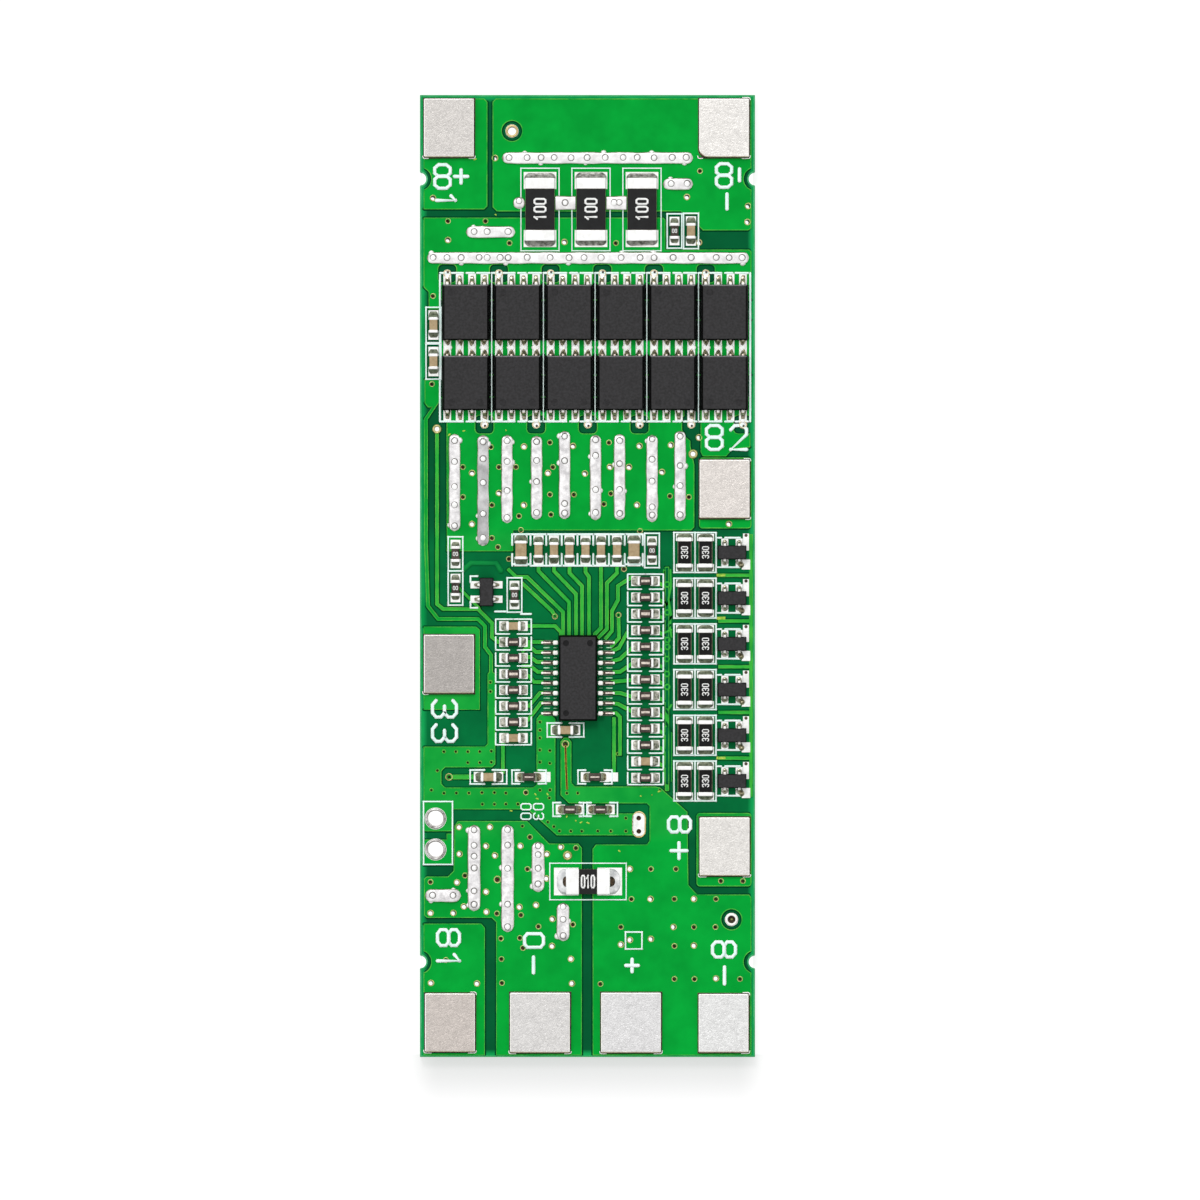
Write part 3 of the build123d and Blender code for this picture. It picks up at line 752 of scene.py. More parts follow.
closedVias = [
    (101, 527), (220, 526),
    (28, 836), (65.5, 836), (89.5, 814), (280, 886), (196, 814), (13, 761), (12, 673), (71, 610),
    (130, 614.5), (189, 614.5), (43, 590), (79, 590), (96, 590), (133, 590), (130, 562.5), (154, 562.5),
    (191, 563.5), (250, 561), (269, 560), (43, 560), (72, 552), (184, 553), (99, 541), (131, 542.5),
    (72, 519), (78, 510), (89, 498), (204, 488), (135, 440.5), (198.5, 442), (70.5, 375), (70.5, 365.5),
    (24, 305.5), (36, 305.5), (48, 305.5), (60, 305.5), (71.5, 306), (48, 294.5), (60, 294.5), (71.5, 295),
    (17.5, 286.5), (11.5, 267), (24, 264), (36.5, 264), (49, 264), (62, 264.5), (74.5, 264.5), (86, 264),
    (106, 264.5), (62.5, 253), (74.5, 253), (86, 253), (98, 253), (120, 267), (130, 267), (129.5, 259),
    (120, 335), (120, 327), (120, 319), (120, 307), (130, 306.5), (120, 295), (130, 294), (147, 264),
    (158, 264), (240, 267), (198, 303), (128, 235), (134, 230.5), (139.5, 226), (151, 226), (162, 226),
    (178, 226), (191, 226), (206, 226), (206, 239), (102.5, 231), (110, 220), (156, 209), (107.5, 188),
    (45, 181.5), (10.5, 175), (77, 143.5), (101, 142), (153, 132.5), (118.5, 130.5), (81, 118.5), (100, 119),
    (103, 109), (81.5, 98), (26, 97), (82, 74), (231, 188), (256, 188), (211.5, 158), (254.5, 158),
    (296, 158), (201, 130), (274, 130), (295.5, 130), (254.5, 111), (254.5, 78), (274.5, 78), (320, 78),
    (301, 176), (323, 176), (180.5, 73),
]
wideClosedVias = [(29, 280), (77.5, 177.5), (145.5, 313), (219, 239), (219, 226)]
# these are drilled in the frame's board already
wideOpenVias = [(17, 628), (147.5, 201.5), (273, 603)]
wireHoles = [(15.5, 238.5), (15.5, 207.5)]
toolingHoles = [(92, 926), (311.5, 137.5)]
tabTones = {
    "upper_positive_tab": (196, 192, 188),
    "upper_negative_tab": (216, 213, 209),
    "cell_two_tab": (206, 200, 195),
    "cell_three_tab": (164, 159, 155),
    "pack_positive_tab": (211, 208, 204),
    "cell_one_tab": (188, 180, 174),
    "load_negative_tab": (202, 200, 198),
    "load_positive_tab": (207, 206, 206),
    "pack_negative_tab": (212, 212, 211),
}
powerNodes = [f"{row}_mosfet_{i}" for row in ("discharge", "charge") for i in range(1, 7)]
power = {
    "bodyLength": 5.5 * mm,
    "draft": (0.2 * mm, 0.06 * mm),
    "soft": 0.1 * mm,
    "sink": 0.025 * mm,
    "overhang": 0.1 * mm,
    "leadPitch": 1.24 * mm,
    "dimple": 0.36 * mm,
    "dimplePlace": (1.45 * mm, 1.95 * mm),
    "gateReach": {"discharge": 1.1 * mm, "charge": 1.4 * mm},
    # leads in mm: the path goes away from the body and up, the width from its first to its second;
    # their tops run from start to end away from the body and from low to high above the land
    "lead": dict(
        widths=(0.3, 0.38), thick=0.14,
        path=((0.1, 0.5), (0.24, 0.49), (0.31, 0.4), (0.4, 0.27), (0.52, 0.16), (0.64, 0.1), (0.74, 0.09)),
    ),
    "leadTop": dict(width=0.32, start=-0.15, end=0.22, low=0.4, high=0.6, soft=0.09),
    "innerLead": dict(
        widths=(0.24, 0.16), thick=0.12,
        path=((0.02, 0.46), (0.12, 0.42), (0.2, 0.3), (0.3, 0.18), (0.4, 0.12)),
    ),
    "innerTop": dict(width=0.24, start=-0.15, end=0.1, low=0.36, high=0.54, soft=0.06),
    # the steep fillet under a lead: its length, half its width and its tip's share of that
    "fillet": dict(rise=0.36 * mm, reach=0.9 * mm, half=0.3 * mm, tip=0.5),
    "innerFillet": dict(rise=0.36 * mm, reach=0.8 * mm, half=0.36 * mm, tip=0.1),
    "shared": dict(rise=0.04 * mm, reach=0.8 * mm, half=0.4 * mm),
    "gate": dict(rise=0.05 * mm, reach=0.4 * mm, half=0.3 * mm, hole=0.13 * mm),
}
faceBoxes = {node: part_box(node) for node in list(tabTones) + ["controller_chip"]}


def inBox(place, low, high, margin):
    return low.x - margin < place.x < high.x + margin and low.y - margin < place.y < high.y + margin


def isCovered(place):
    return coveredRows[0] < place[1] < coveredRows[1] and place not in bareVias


def drillPins():
    bm = bmesh.new()
    top = boardHigh.z + 0.3 * mm
    jobs = [(place, board["openVia"], -0.3 * mm) for place in openVias]
    for place in closedVias:
        jobs.append((place, board["coveredVia" if isCovered(place) else "smallVia"], board["viaFloor"]))
    jobs += [(place, board["largeVia"], board["viaFloor"]) for place in wideClosedVias]
    rng = random.Random(5)
    for place, radius, floor in jobs:
        # each hole leans a little, so that its wall shows as a crescent
        lean = Vector((rng.uniform(*board["viaLean"]), rng.uniform(*board["viaLean"]), 0))
        made = bmesh.ops.create_cone(
            bm, cap_ends=True, segments=board["viaSides"], radius1=radius * 0.84, radius2=radius * 1.04,
            depth=top - floor, matrix=Matrix.Translation(at(*place, (top + floor) / 2)),
        )["verts"]
        for vert in made:
            if vert.co.z < (top + floor) / 2:
                vert.co -= lean
    mesh = bpy.data.meshes.new("drillPins")
    bm.to_mesh(mesh)
    bm.free()
    return makePiece("drillPins", mesh)


def joinedLines(name, lines):
    # loose edges joined end to end, so that a lip runs round its corners in one piece
    mesh = lineMesh(name, [(line, False) for line in lines])
    bm = bmesh.new()
    bm.from_mesh(mesh)
    bmesh.ops.remove_doubles(bm, verts=bm.verts, dist=1e-6)
    bm.to_mesh(mesh)
    bm.free()
    return makePiece(name, mesh)


def topEdges(bm, laminate, copper):
    # the upper edges of the copper, and the board's own outline
    copperEdges, rimEdges = [], []
    for edge in bm.edges:
        up = [f for f in edge.link_faces if f.normal.z > 0.9]
        wall = [f for f in edge.link_faces if abs(f.normal.z) < 0.1]
        if len(up) != 1 or len(wall) != 1:
            continue
        z = edge.verts[0].co.z
        low = min(v.co.z for v in wall[0].verts)
        line = [v.co.copy() for v in edge.verts]
        middle = (line[0] + line[1]) / 2
        reach = max(abs(middle.x) / boardHigh.x, abs(middle.y) / boardHigh.y)
        if abs(z - copper) < 1e-6 and abs(low - laminate) < 1e-6:
            copperEdges.append(line)
        if abs(z - laminate) < 1e-6 and low < laminate - 0.5 * mm and reach > 0.95:
            rimEdges.append(line)
    return copperEdges, rimEdges


def nearOutline(place):
    return abs(place.x) > boardHigh.x - board["plainRim"] or abs(place.y) > boardHigh.y - board["plainRim"]


boardFinishes = {
    name: k for k, name in enumerate((
        "maskOverLaminate", "maskOverCopper", "tinnedLand", "maskLip", "viaWall", "boardRim", "tabSeam",
        "dullLand", "maskOverTrace",
    ))
}


def besideMetal(island):
    # whether any of these faces lies close to a tab or to a wire hole
    for face in island:
        place = face.calc_center_median()
        if any(inBox(place, *faceBoxes[node], 0.5 * mm) for node in tabTones):
            return True
        if any((place - at(*hole)).xy.length < 1.6 * mm for hole in wireHoles):
            return True
    return False


def traceFaces(mesh, copper):
    # the copper's top faces that lie in a narrow strip, known by the strip's area against its outline
    bm = bmesh.new()
    bm.from_mesh(mesh)
    found, seen = [], set()
    flat = [face for face in bm.faces if face.normal.z > 0.9]
    top = {face for face in flat if abs(face.calc_center_median().z - copper) < 1e-5}
    for start in top:
        if start in seen:
            continue
        island, stack, outline = [], [start], 0.0
        seen.add(start)
        while stack:
            face = stack.pop()
            island.append(face)
            for edge in face.edges:
                others = [f for f in edge.link_faces if f in top and f is not face]
                if not others:
                    outline += edge.calc_length()
                for other in others:
                    if other not in seen:
                        seen.add(other)
                        stack.append(other)
        if besideMetal(island):
            continue
        if 2 * sum(face.calc_area() for face in island) / outline < board["traceWidth"]:
            found += [face.index for face in island]
    bm.free()
    return found


def faceFinish(face, zs, levels):
    # which of the board's finishes a face takes, from its height and its place
    laminate, copper, land = levels
    reach = max(abs(face.center.x) / boardHigh.x, abs(face.center.y) / boardHigh.y)
    if face.normal.z < -0.9:
        return "maskOverLaminate"
    if face.normal.z > 0.9:
        if abs(face.center.z - laminate) < 1e-5:
            return "maskOverLaminate"
        if abs(face.center.z - copper) < 1e-5:
            return "maskOverCopper"
        if abs(face.center.z - land) > 1e-5:
            return "viaWall"
        # land faces round a tab take a painted shade
        for node in tabTones:
            if inBox(face.center, *faceBoxes[node], board["tabSeam"]):
                return "tabSeam"
        return "dullLand" if inBox(face.center, *faceBoxes["controller_chip"], 0.2 * mm) else "tinnedLand"
    if min(zs) > laminate - 1e-6:
        return "maskLip" if max(zs) < copper + 1e-6 else "tinnedLand"
    return "boardRim" if reach > 0.955 else "viaWall"


def makeBoard():
    bm = mergedMesh("circuit_board")
    bm.normal_update()
    heights = sorted({round(face.calc_center_median().z, 6) for face in bm.faces if face.normal.z > 0.99})
    levels = heights[-3:]
    copperEdges, rimEdges = topEdges(bm, levels[0], levels[1])
    mesh = bpy.data.meshes.new("boardPanel")
    bm.to_mesh(mesh)
    bm.free()
    panel = makePiece("boardPanel", mesh)
    pins = drillPins()
    cut = panel.modifiers.new("drilling", "BOOLEAN")
    cut.operation = "DIFFERENCE"
    cut.solver = "EXACT"
    cut.object = pins
    bake(panel)
    bpy.data.objects.remove(pins)
    panel.data.materials.clear()
    for name in boardFinishes:
        panel.data.materials.append(finish[name])
    for face in panel.data.polygons:
        zs = [panel.data.vertices[i].co.z for i in face.vertices]
        face.material_index = boardFinishes[faceFinish(face, zs, levels)]
    for index in traceFaces(panel.data, levels[1]):
        panel.data.polygons[index].material_index = boardFinishes["maskOverTrace"]
    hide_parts("circuit_board")

    lips = joinedLines("copperLips", copperEdges)
    runTree(lips, edgeLip, {"Radius": board["lip"], "Sides": 6, "Material": "maskLip"})
    # painted shade: a dark strip on the laminate along the copper's edges, away from the outline
    inner = [line for line in copperEdges if not nearOutline((line[0] + line[1]) / 2)]
    shade = joinedLines("copperShade", inner)
    for vert in shade.data.vertices:
        vert.co.z = levels[0]
    runTree(shade, printStroke, {
        "Width": board["shade"], "Thickness": 0.02 * mm, "Dot sides": 8, "Material": "maskShade",
    })
    rim = joinedLines("boardRim", rimEdges)
    for vert in rim.data.vertices:
        # drawn in by its own radius, so that the rim stays inside the board's outline
        for k, limit in ((0, boardHigh.x), (1, boardHigh.y)):
            vert.co[k] = max(min(vert.co[k], limit - board["rimLip"]), board["rimLip"] - limit)
        vert.co.z = levels[0] - board["rimLip"] * 0.7
    runTree(rim, edgeLip, {"Radius": board["rimLip"], "Sides": 6, "Material": "boardRim"})
    return [panel, lips, shade, rim], levels


pieces, (laminateTop, copperTop, landTop) = makeBoard()
print("board made:", len(pieces[0].data.polygons), "faces")


# the ring round each sort of hole: its radius and its wire's
rims = {
    "viaRims": dict(radius=0.255 * mm, wire=0.052 * mm, material="viaRim"),
    "stitchRims": dict(radius=0.35 * mm, wire=0.115 * mm, material="viaRim", sides=24),
    "coveredRims": dict(radius=0.17 * mm, wire=0.045 * mm, material="coveredRim"),
    "gateRims": dict(radius=0.34 * mm, wire=0.045 * mm, material="goldRim", sides=20),
    "wireEyelets": dict(radius=0.92 * mm, wire=0.13 * mm, material="eyeletRim", sides=40),
    "upperToolingRim": dict(radius=0.53 * mm, wire=0.11 * mm, material="goldRim", sides=32),
    "lowerToolingRim": dict(radius=0.5 * mm, wire=0.13 * mm, material="leadTop", sides=32),
    "stripLoops": dict(radius=0.25 * mm, wire=0.085 * mm, material="maskOverTrace"),
}
rimSwell = {"open": 1.12, "closed": 0.98, "wide": 1.3}


def ringPiece(name, places, swell=None):
    rim = rims[name]
    piece = pointPiece(name, places, swell or [1.0] * len(places), holeRim, {
        "Ring radius": rim["radius"], "Wire radius": rim["wire"], "Sides": rim.get("sides", 16),
        "Material": rim["material"],
    })
    return piece


def gateVias():
    # the plated hole beyond each gate lead
    for node in powerNodes:
        middle = middleOf(node)
        row = node.split("_")[0]
        side = 1 if row == "discharge" else -1
        reach = power["bodyLength"] / 2 + power["gateReach"][row]
        yield Vector((middle.x - side * 1.5 * power["leadPitch"], middle.y + side * reach, landTop))


def toolingPlug():
    # the lower tooling hole is stopped with dark resin that has a paler core
    bm = bmesh.new()
    middle = at(*toolingHoles[1], 0.9 * mm)
    addDisc(bm, middle, 0.44 * mm, 0.5 * mm, 0, 28)
    addDisc(bm, middle + Vector((0.02 * mm, 0.02 * mm, 0.26 * mm)), 0.12 * mm, 0.06 * mm, 1, 14)
    piece = finishMesh(bm, "toolingPlug", ["holeWall", "viaRim"])
    return piece


def makeHoleRims():
    low = copperTop - 0.03 * mm
    kinds = {
        "open": openVias, "closed": [place for place in closedVias if not isCovered(place)],
        "wide": wideClosedVias,
    }
    plain = [at(*place, low) for places in kinds.values() for place in places]
    swell = [rimSwell[kind] for kind, places in kinds.items() for place in places]
    landHoles = (wideOpenVias, wireHoles, toolingHoles)
    stitches, eyelets, tooling = ([at(*place, landTop) for place in holes] for holes in landHoles)
    return [
        ringPiece("viaRims", plain, swell),
        ringPiece("stitchRims", stitches),
        ringPiece("coveredRims", [at(*place, low) for place in closedVias if isCovered(place)]),
        ringPiece("gateRims", list(gateVias())),
        ringPiece("wireEyelets", eyelets),
        ringPiece("upperToolingRim", tooling[:1]),
        ringPiece("lowerToolingRim", tooling[1:]),
        toolingPlug(),
    ]


pieces += makeHoleRims()
print("hole rims made")

tabLook = {
    "soft": 0.09 * mm, "seam": 0.17 * mm, "speckle": 0.062, "wrinkle": 1.4,
    "arcOut": 0.12 * mm, "arcWire": 0.05 * mm, "arcLong": 0.8 * mm, "arcShort": 0.12 * mm,
    "arcBend": 0.16 * mm,
}
# which corners of each tab show a line of solder: l and r for left and right, u and d for up and down
tabArcs = {
    "upper_positive_tab": ("ld", "rd"),
    "upper_negative_tab": ("ld", "rd", "ru"),
    "cell_two_tab": ("ru", "rd"),
    "cell_three_tab": ("ld",),
    "pack_positive_tab": ("ld", "rd"),
    "cell_one_tab": ("ru", "ld", "rd"),
    "load_negative_tab": ("ld", "rd"),
    "load_positive_tab": ("ld", "rd"),
    "pack_negative_tab": ("ru", "rd"),
}


def makeNickel(name, tone):
    # rolled nickel: a fine wrinkled speckle over faint clouds
    material, tree, shader, place = startMaterial(name)
    speckle = noise(tree, place, 4200.0, 3.0, distortion=tabLook["wrinkle"])
    both = mixed(tree, 0.72, noise(tree, place, 900.0, 4.0), speckle, "FLOAT")
    tones = [[c * (1 + shift) for c in tone] for shift in (-tabLook["speckle"], tabLook["speckle"])]
    colour = blendColours(tree, mapRange(tree, both, 0.38, 0.62), tones)
    setShader(shader, colour, 0.4, 0.7)
    liftSurface(tree, shader, speckle, 0.25)
    return material


def makeTab(node):
    bm = mergedMesh(node)
    bmesh.ops.dissolve_limit(bm, angle_limit=0.02, verts=bm.verts, edges=bm.edges)
    piece = finishMesh(bm, node + "_plate", [])
    soften = piece.modifiers.new("soften", "BEVEL")
    soften.width = tabLook["soft"]
    soften.segments = 2
    soften.limit_method = "ANGLE"
    soften.angle_limit = math.radians(50)
    bake(piece)
    piece.data.materials.clear()
    piece.data.materials.append(makeNickel(node + "_nickel", tabTones[node]))
    for name in ("tabEdge", "tabLowerEdge"):
        piece.data.materials.append(finish[name])
    # the softened edges take a painted highlight, and those that face the near end a painted shade
    for face in piece.data.polygons:
        if 0.1 < face.normal.z < 0.97:
            face.material_index = 2 if face.normal.y < -0.2 else 1
    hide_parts(node)
    return piece


def makeTabShadeLines():
    # painted shade: a dark line along the right and lower edge of each tab
    z = landTop + 0.01 * mm
    out = tabLook["seam"] * 0.3
    lines = []
    for node in tabTones:
        low, high = faceBoxes[node]
        right, under = high.x + out, low.y - out
        lines.append(flatLine(z, (right, high.y), (right, under), (low.x, under)))
    piece = linePiece("tabSeams", lines, printStroke, {
        "Width": tabLook["seam"], "Thickness": 0.03 * mm, "Dot sides": 8, "Material": "tabSeam",
    })
    return piece


def makeTabSolder():
    # the thin line of solder that crept out round the tabs' corners
    z = landTop + 0.02 * mm
    rng = random.Random(4)
    lines = []
    for node, corners in tabArcs.items():
        low, high = faceBoxes[node]
        for corner in corners:
            x, inX = (low.x, 1) if corner[0] == "l" else (high.x, -1)
            y, inY = (low.y, 1) if corner[1] == "d" else (high.y, -1)
            x, y = x - inX * tabLook["arcOut"], y - inY * tabLook["arcOut"]
            reach = tabLook["arcLong"] * rng.uniform(0.6, 1.1)
            rise = tabLook["arcShort"] * rng.uniform(0.7, 1.4)
            bend = tabLook["arcBend"]
            path = [(x + inX * reach, y), (x + inX * bend, y), (x + inX * 0.3 * bend, y + inY * 0.3 * bend)]
            path += [(x, y + inY * bend), (x, y + inY * (bend + rise))]
            lines.append(flatLine(z, *path))
    sizes = {"Radius": tabLook["arcWire"], "Sides": 8, "Material": "cornerSolder"}
    piece = linePiece("tabCornerSolder", lines, edgeLip, sizes)
    return piece


for node in tabTones:
    pieces.append(makeTab(node))
pieces += [makeTabShadeLines(), makeTabSolder()]
print("tabs made")


def makeLead(widths, thick, path):
    # a strip that bends down from the body and lies flat, all in mm
    bm = bmesh.new()
    path = [Vector((y * mm, z * mm)) for y, z in path]
    loops = []
    for i, point in enumerate(path):
        along = (path[min(i + 1, len(path) - 1)] - path[max(i - 1, 0)]).normalized()
        over = Vector((-along.y, along.x)) * thick * mm / 2
        half = (widths[0] + (widths[1] - widths[0]) * i / (len(path) - 1)) * mm / 2
        ring = [(-1, over), (1, over), (1, -over), (-1, -over)]
        loops.append([bm.verts.new((side * half, point.x + up.x, point.y + up.y)) for side, up in ring])
    for a, b in zip(loops, loops[1:]):
        for k in range(4):
            bm.faces.new((a[k], a[(k + 1) % 4], b[(k + 1) % 4], b[k]))
    bm.faces.new(loops[0])
    bm.faces.new(list(reversed(loops[-1])))
    piece = finishMesh(bm, "oneLead", ["leadShank"])
    soften = piece.modifiers.new("soften", "BEVEL")
    soften.width = thick * mm * 0.25
    soften.segments = 2
    return bake(piece)


def makeLump(width, start, end, low, high, soft):
    # a rounded lump of a lead, all in mm
    bm = bmesh.new()
    lower, upper = ([c * mm for c in corner] for corner in ((-width / 2, start, low), (width / 2, end, high)))
    addBlock(bm, lower, upper, soft=soft * mm, segments=3)
    return finishMesh(bm, "oneLump", ["leadTop"])


def leadPiece(name, lead, spots, material):
    places, turns = zip(*spots)
    piece = pointPiece(name, places, turns, leadRow, {"Lead": lead, "Material": material})
    bpy.data.objects.remove(lead)
    return piece


def powerSpots():
    # where each lead of the power transistors leaves its body, and its turn
    for node in powerNodes:
        middle = middleOf(node)
        for side in (1, -1):
            y = middle.y + side * power["bodyLength"] / 2
            for i in range(4):
                x = middle.x + (i - 1.5) * power["leadPitch"]
                yield Vector((x, y, landTop)), 0.0 if side > 0 else math.pi


def makePowerBody(node):
    low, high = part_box(node)
    middle = (low + high) / 2
    half = power["bodyLength"] / 2
    # the far row reaches a little further towards the near row
    near = middle.y - half - (power["overhang"] if node.startswith("discharge") else 0.0)
    bm = bmesh.new()
    addBlock(
        bm, (low.x, near, low.z + 0.03 * mm), (high.x, middle.y + half, high.z - power["sink"]),
        soft=power["soft"], taper=power["draft"],
    )
    bm.normal_update()
    for face in bm.faces:
        # the upper edge that faces the far end takes a painted highlight, and the sides a painted shade
        lit = face.normal.y > 0.2 and face.normal.z > 0.3
        face.material_index = 0 if face.normal.z > 0.98 else 3 if lit else 1
    marks = [(-1, 1)] if node.startswith("discharge") else [(-1, -1), (1, -1)]
    for sideX, sideY in marks:
        aside, up = power["dimplePlace"]
        centre = Vector((middle.x + sideX * aside, middle.y + sideY * up, high.z - 0.03 * mm))
        addDisc(bm, centre, power["dimple"], 0.04 * mm, 2)
    piece = finishMesh(bm, node + "_body", ["moulding", "mouldingSide", "mouldingDimple", "mouldingEdge"])
    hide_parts(node)
    return piece


def isInner(place):
    # whether a lead stands between the two rows
    return abs(place.y - rowMiddle) < 1.0 * mm


def powerSolder(spots):
    # steep fillets under every lead, darkened with painted shade and painted reflection, and flat solder
    # where the two rows share their lands
    bm = bmesh.new()
    rng = random.Random(11)
    shared = power["shared"]
    for place, turn in spots:
        inner = isInner(place)
        fillet = power["innerFillet" if inner else "fillet"]
        along = turn + math.pi / 2
        side = 1 if turn == 0.0 else -1
        reach = fillet["reach"] * rng.uniform(0.9, 1.04)
        lean = rng.uniform(-0.12, 0.12)
        start = place + Vector((rng.uniform(-0.07, 0.07) * mm, side * 0.03 * mm, 0))
        rise, pinch = tent(fillet["rise"]), narrowing(fillet["tip"])
        addHeap(bm, start, reach, fillet["half"], rise, pinch, along + lean, slot=1, steps=(7, 6))
        if inner and side > 0:
            x = place.x + rng.uniform(-0.07, 0.07) * mm
            start = Vector((x, rowMiddle - shared["reach"] / 2, landTop))
            half, rise = shared["half"] * rng.uniform(0.75, 1.12), crown(shared["rise"], 0.35)
            addHeap(bm, start, shared["reach"], half, rise, diamond, math.pi / 2, steps=(10, 6))
    piece = finishMesh(bm, "powerSolder", ["cornerSolder", "filletSolder"])
    return piece


def gateSolder():
    # solder that runs from each gate lead into its plated hole, and a dark disc of painted shade for the hole
    # above it
    bm = bmesh.new()
    middle = (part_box(powerNodes[0])[0].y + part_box(powerNodes[6])[1].y) / 2
    gate = power["gate"]
    for place in gateVias():
        inward = -1 if place.y > middle else 1
        start, rise = place + Vector((0, inward * 0.16 * mm, 0)), crown(gate["rise"], 0.35)
        addHeap(bm, start, gate["reach"], gate["half"], rise, roundBoth, inward * math.pi / 2, steps=(6, 6))
        hole = place + Vector((0.06 * mm, -inward * 0.14 * mm, 0.015 * mm))
        addDisc(bm, hole, gate["hole"], 0.05 * mm, 1, 14)
    piece = finishMesh(bm, "gateSolder", ["cornerSolder", "holeWall"])
    return piece


for node in powerNodes:
    pieces.append(makePowerBody(node))
spots = list(powerSpots())
rowMiddle = sum(place.y for place, turn in spots) / len(spots)
outerSpots = [spot for spot in spots if not isInner(spot[0])]
innerSpots = [spot for spot in spots if isInner(spot[0])]
# each lead is its metal, with a pale lump on top that takes a painted highlight
for name, lead, leadSpots, material in (
    ("powerLeads", makeLead(**power["lead"]), outerSpots, "leadShank"),
    ("powerLeadTops", makeLump(**power["leadTop"]), outerSpots, "leadTop"),
    ("innerLeads", makeLead(**power["innerLead"]), innerSpots, "leadShank"),
    ("innerLeadTops", makeLump(**power["innerTop"]), innerSpots, "leadFoot"),
):
    pieces.append(leadPiece(name, lead, leadSpots, material))
pieces.append(powerSolder(spots))
pieces.append(gateSolder())
print("power transistors made")

# cap: the length of an end cap; edge: how far the film stands in from the body's sides;
# inset and shrink: how far the body stands in from the sides and ends of its box;
# spread: how far the solder stands out at the sides; reach, rise and tip: how far it runs out,
# how high it climbs and how narrow it ends; pocket: the length of a dark patch of painted shade for the pit
# between solder and cap;
# highlight: the most that half the width of a painted highlight along the top can be
chipKinds = {
    "shunt": dict(
        cap=1.1 * mm, soft=0.08 * mm, edge=0.04 * mm, inset=0.07 * mm, top="thickFilm", body="ceramicEdge",
        fillet="wideFillet", reach=0.55 * mm, rise=0.85, tip=0.72,
    ),
    "loadShunt": dict(
        cap=1.3 * mm, soft=0.06 * mm, edge=0.03 * mm, inset=0.03 * mm, top="thickFilm", body="ceramicEdge",
        fillet="paleFillet", reach=0.95 * mm, rise=0.85, tip=0.3, pocket=0.5 * mm,
    ),
    "bleed": dict(
        cap=0.4 * mm, soft=0.06 * mm, edge=0.07 * mm, top="glazedFilm", body="ceramicEdge",
        fillet="chipFillet", reach=0.42 * mm, rise=0.85, tip=0.5, inset=0.07 * mm, shrink=0.07 * mm,
    ),
    "chip": dict(
        cap=0.23 * mm, soft=0.05 * mm, top="chipBody", body="chipBody",
        fillet="mottledFillet", reach=0.5 * mm, rise=0.85, tip=0.7, spread=0.04 * mm, stripe=0.2 * mm,
    ),
    "plainChip": dict(
        cap=0.29 * mm, soft=0.05 * mm, top="chipBody", body="chipBody",
        fillet="chipFillet", reach=0.46 * mm, rise=0.85, tip=0.6,
    ),
    "darkChip": dict(
        cap=0.2 * mm, soft=0.05 * mm, top="chipBody", body="chipBody", capFinish="chipFillet",
        fillet="filletSolder", reach=0.4 * mm, rise=0.85, tip=0.5, stripe=0.12 * mm,
    ),
    "tanChip": dict(
        cap=0.29 * mm, soft=0.05 * mm, top="capacitorCeramic", body="capacitorCeramic",
        fillet="chipFillet", reach=0.52 * mm, rise=0.85, tip=0.6, spread=0.06 * mm, shrink=0.07 * mm,
    ),
}
chipNodes = {
    "load_shunt_resistor": "loadShunt", "selector_resistors": "darkChip",
    "regulator_resistors": "plainChip", "timing_resistor": "plainChip", "sense_resistor": "plainChip",
}
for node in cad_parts:
    if node.startswith("shunt_resistor"):
        chipNodes[node] = "shunt"
    elif node.startswith("bleed_resistor"):
        chipNodes[node] = "bleed"
    elif "capacitor" in node:
        chipNodes[node] = "tanChip"
    elif node.endswith(("_resistors", "_resistor")) and node not in chipNodes:
        chipNodes[node] = "chip"
# chips in the resistor columns that are tan, counted from the lower end
tanOnes = {"pin_resistors": (0, 7), "channel_resistors": (1,)}


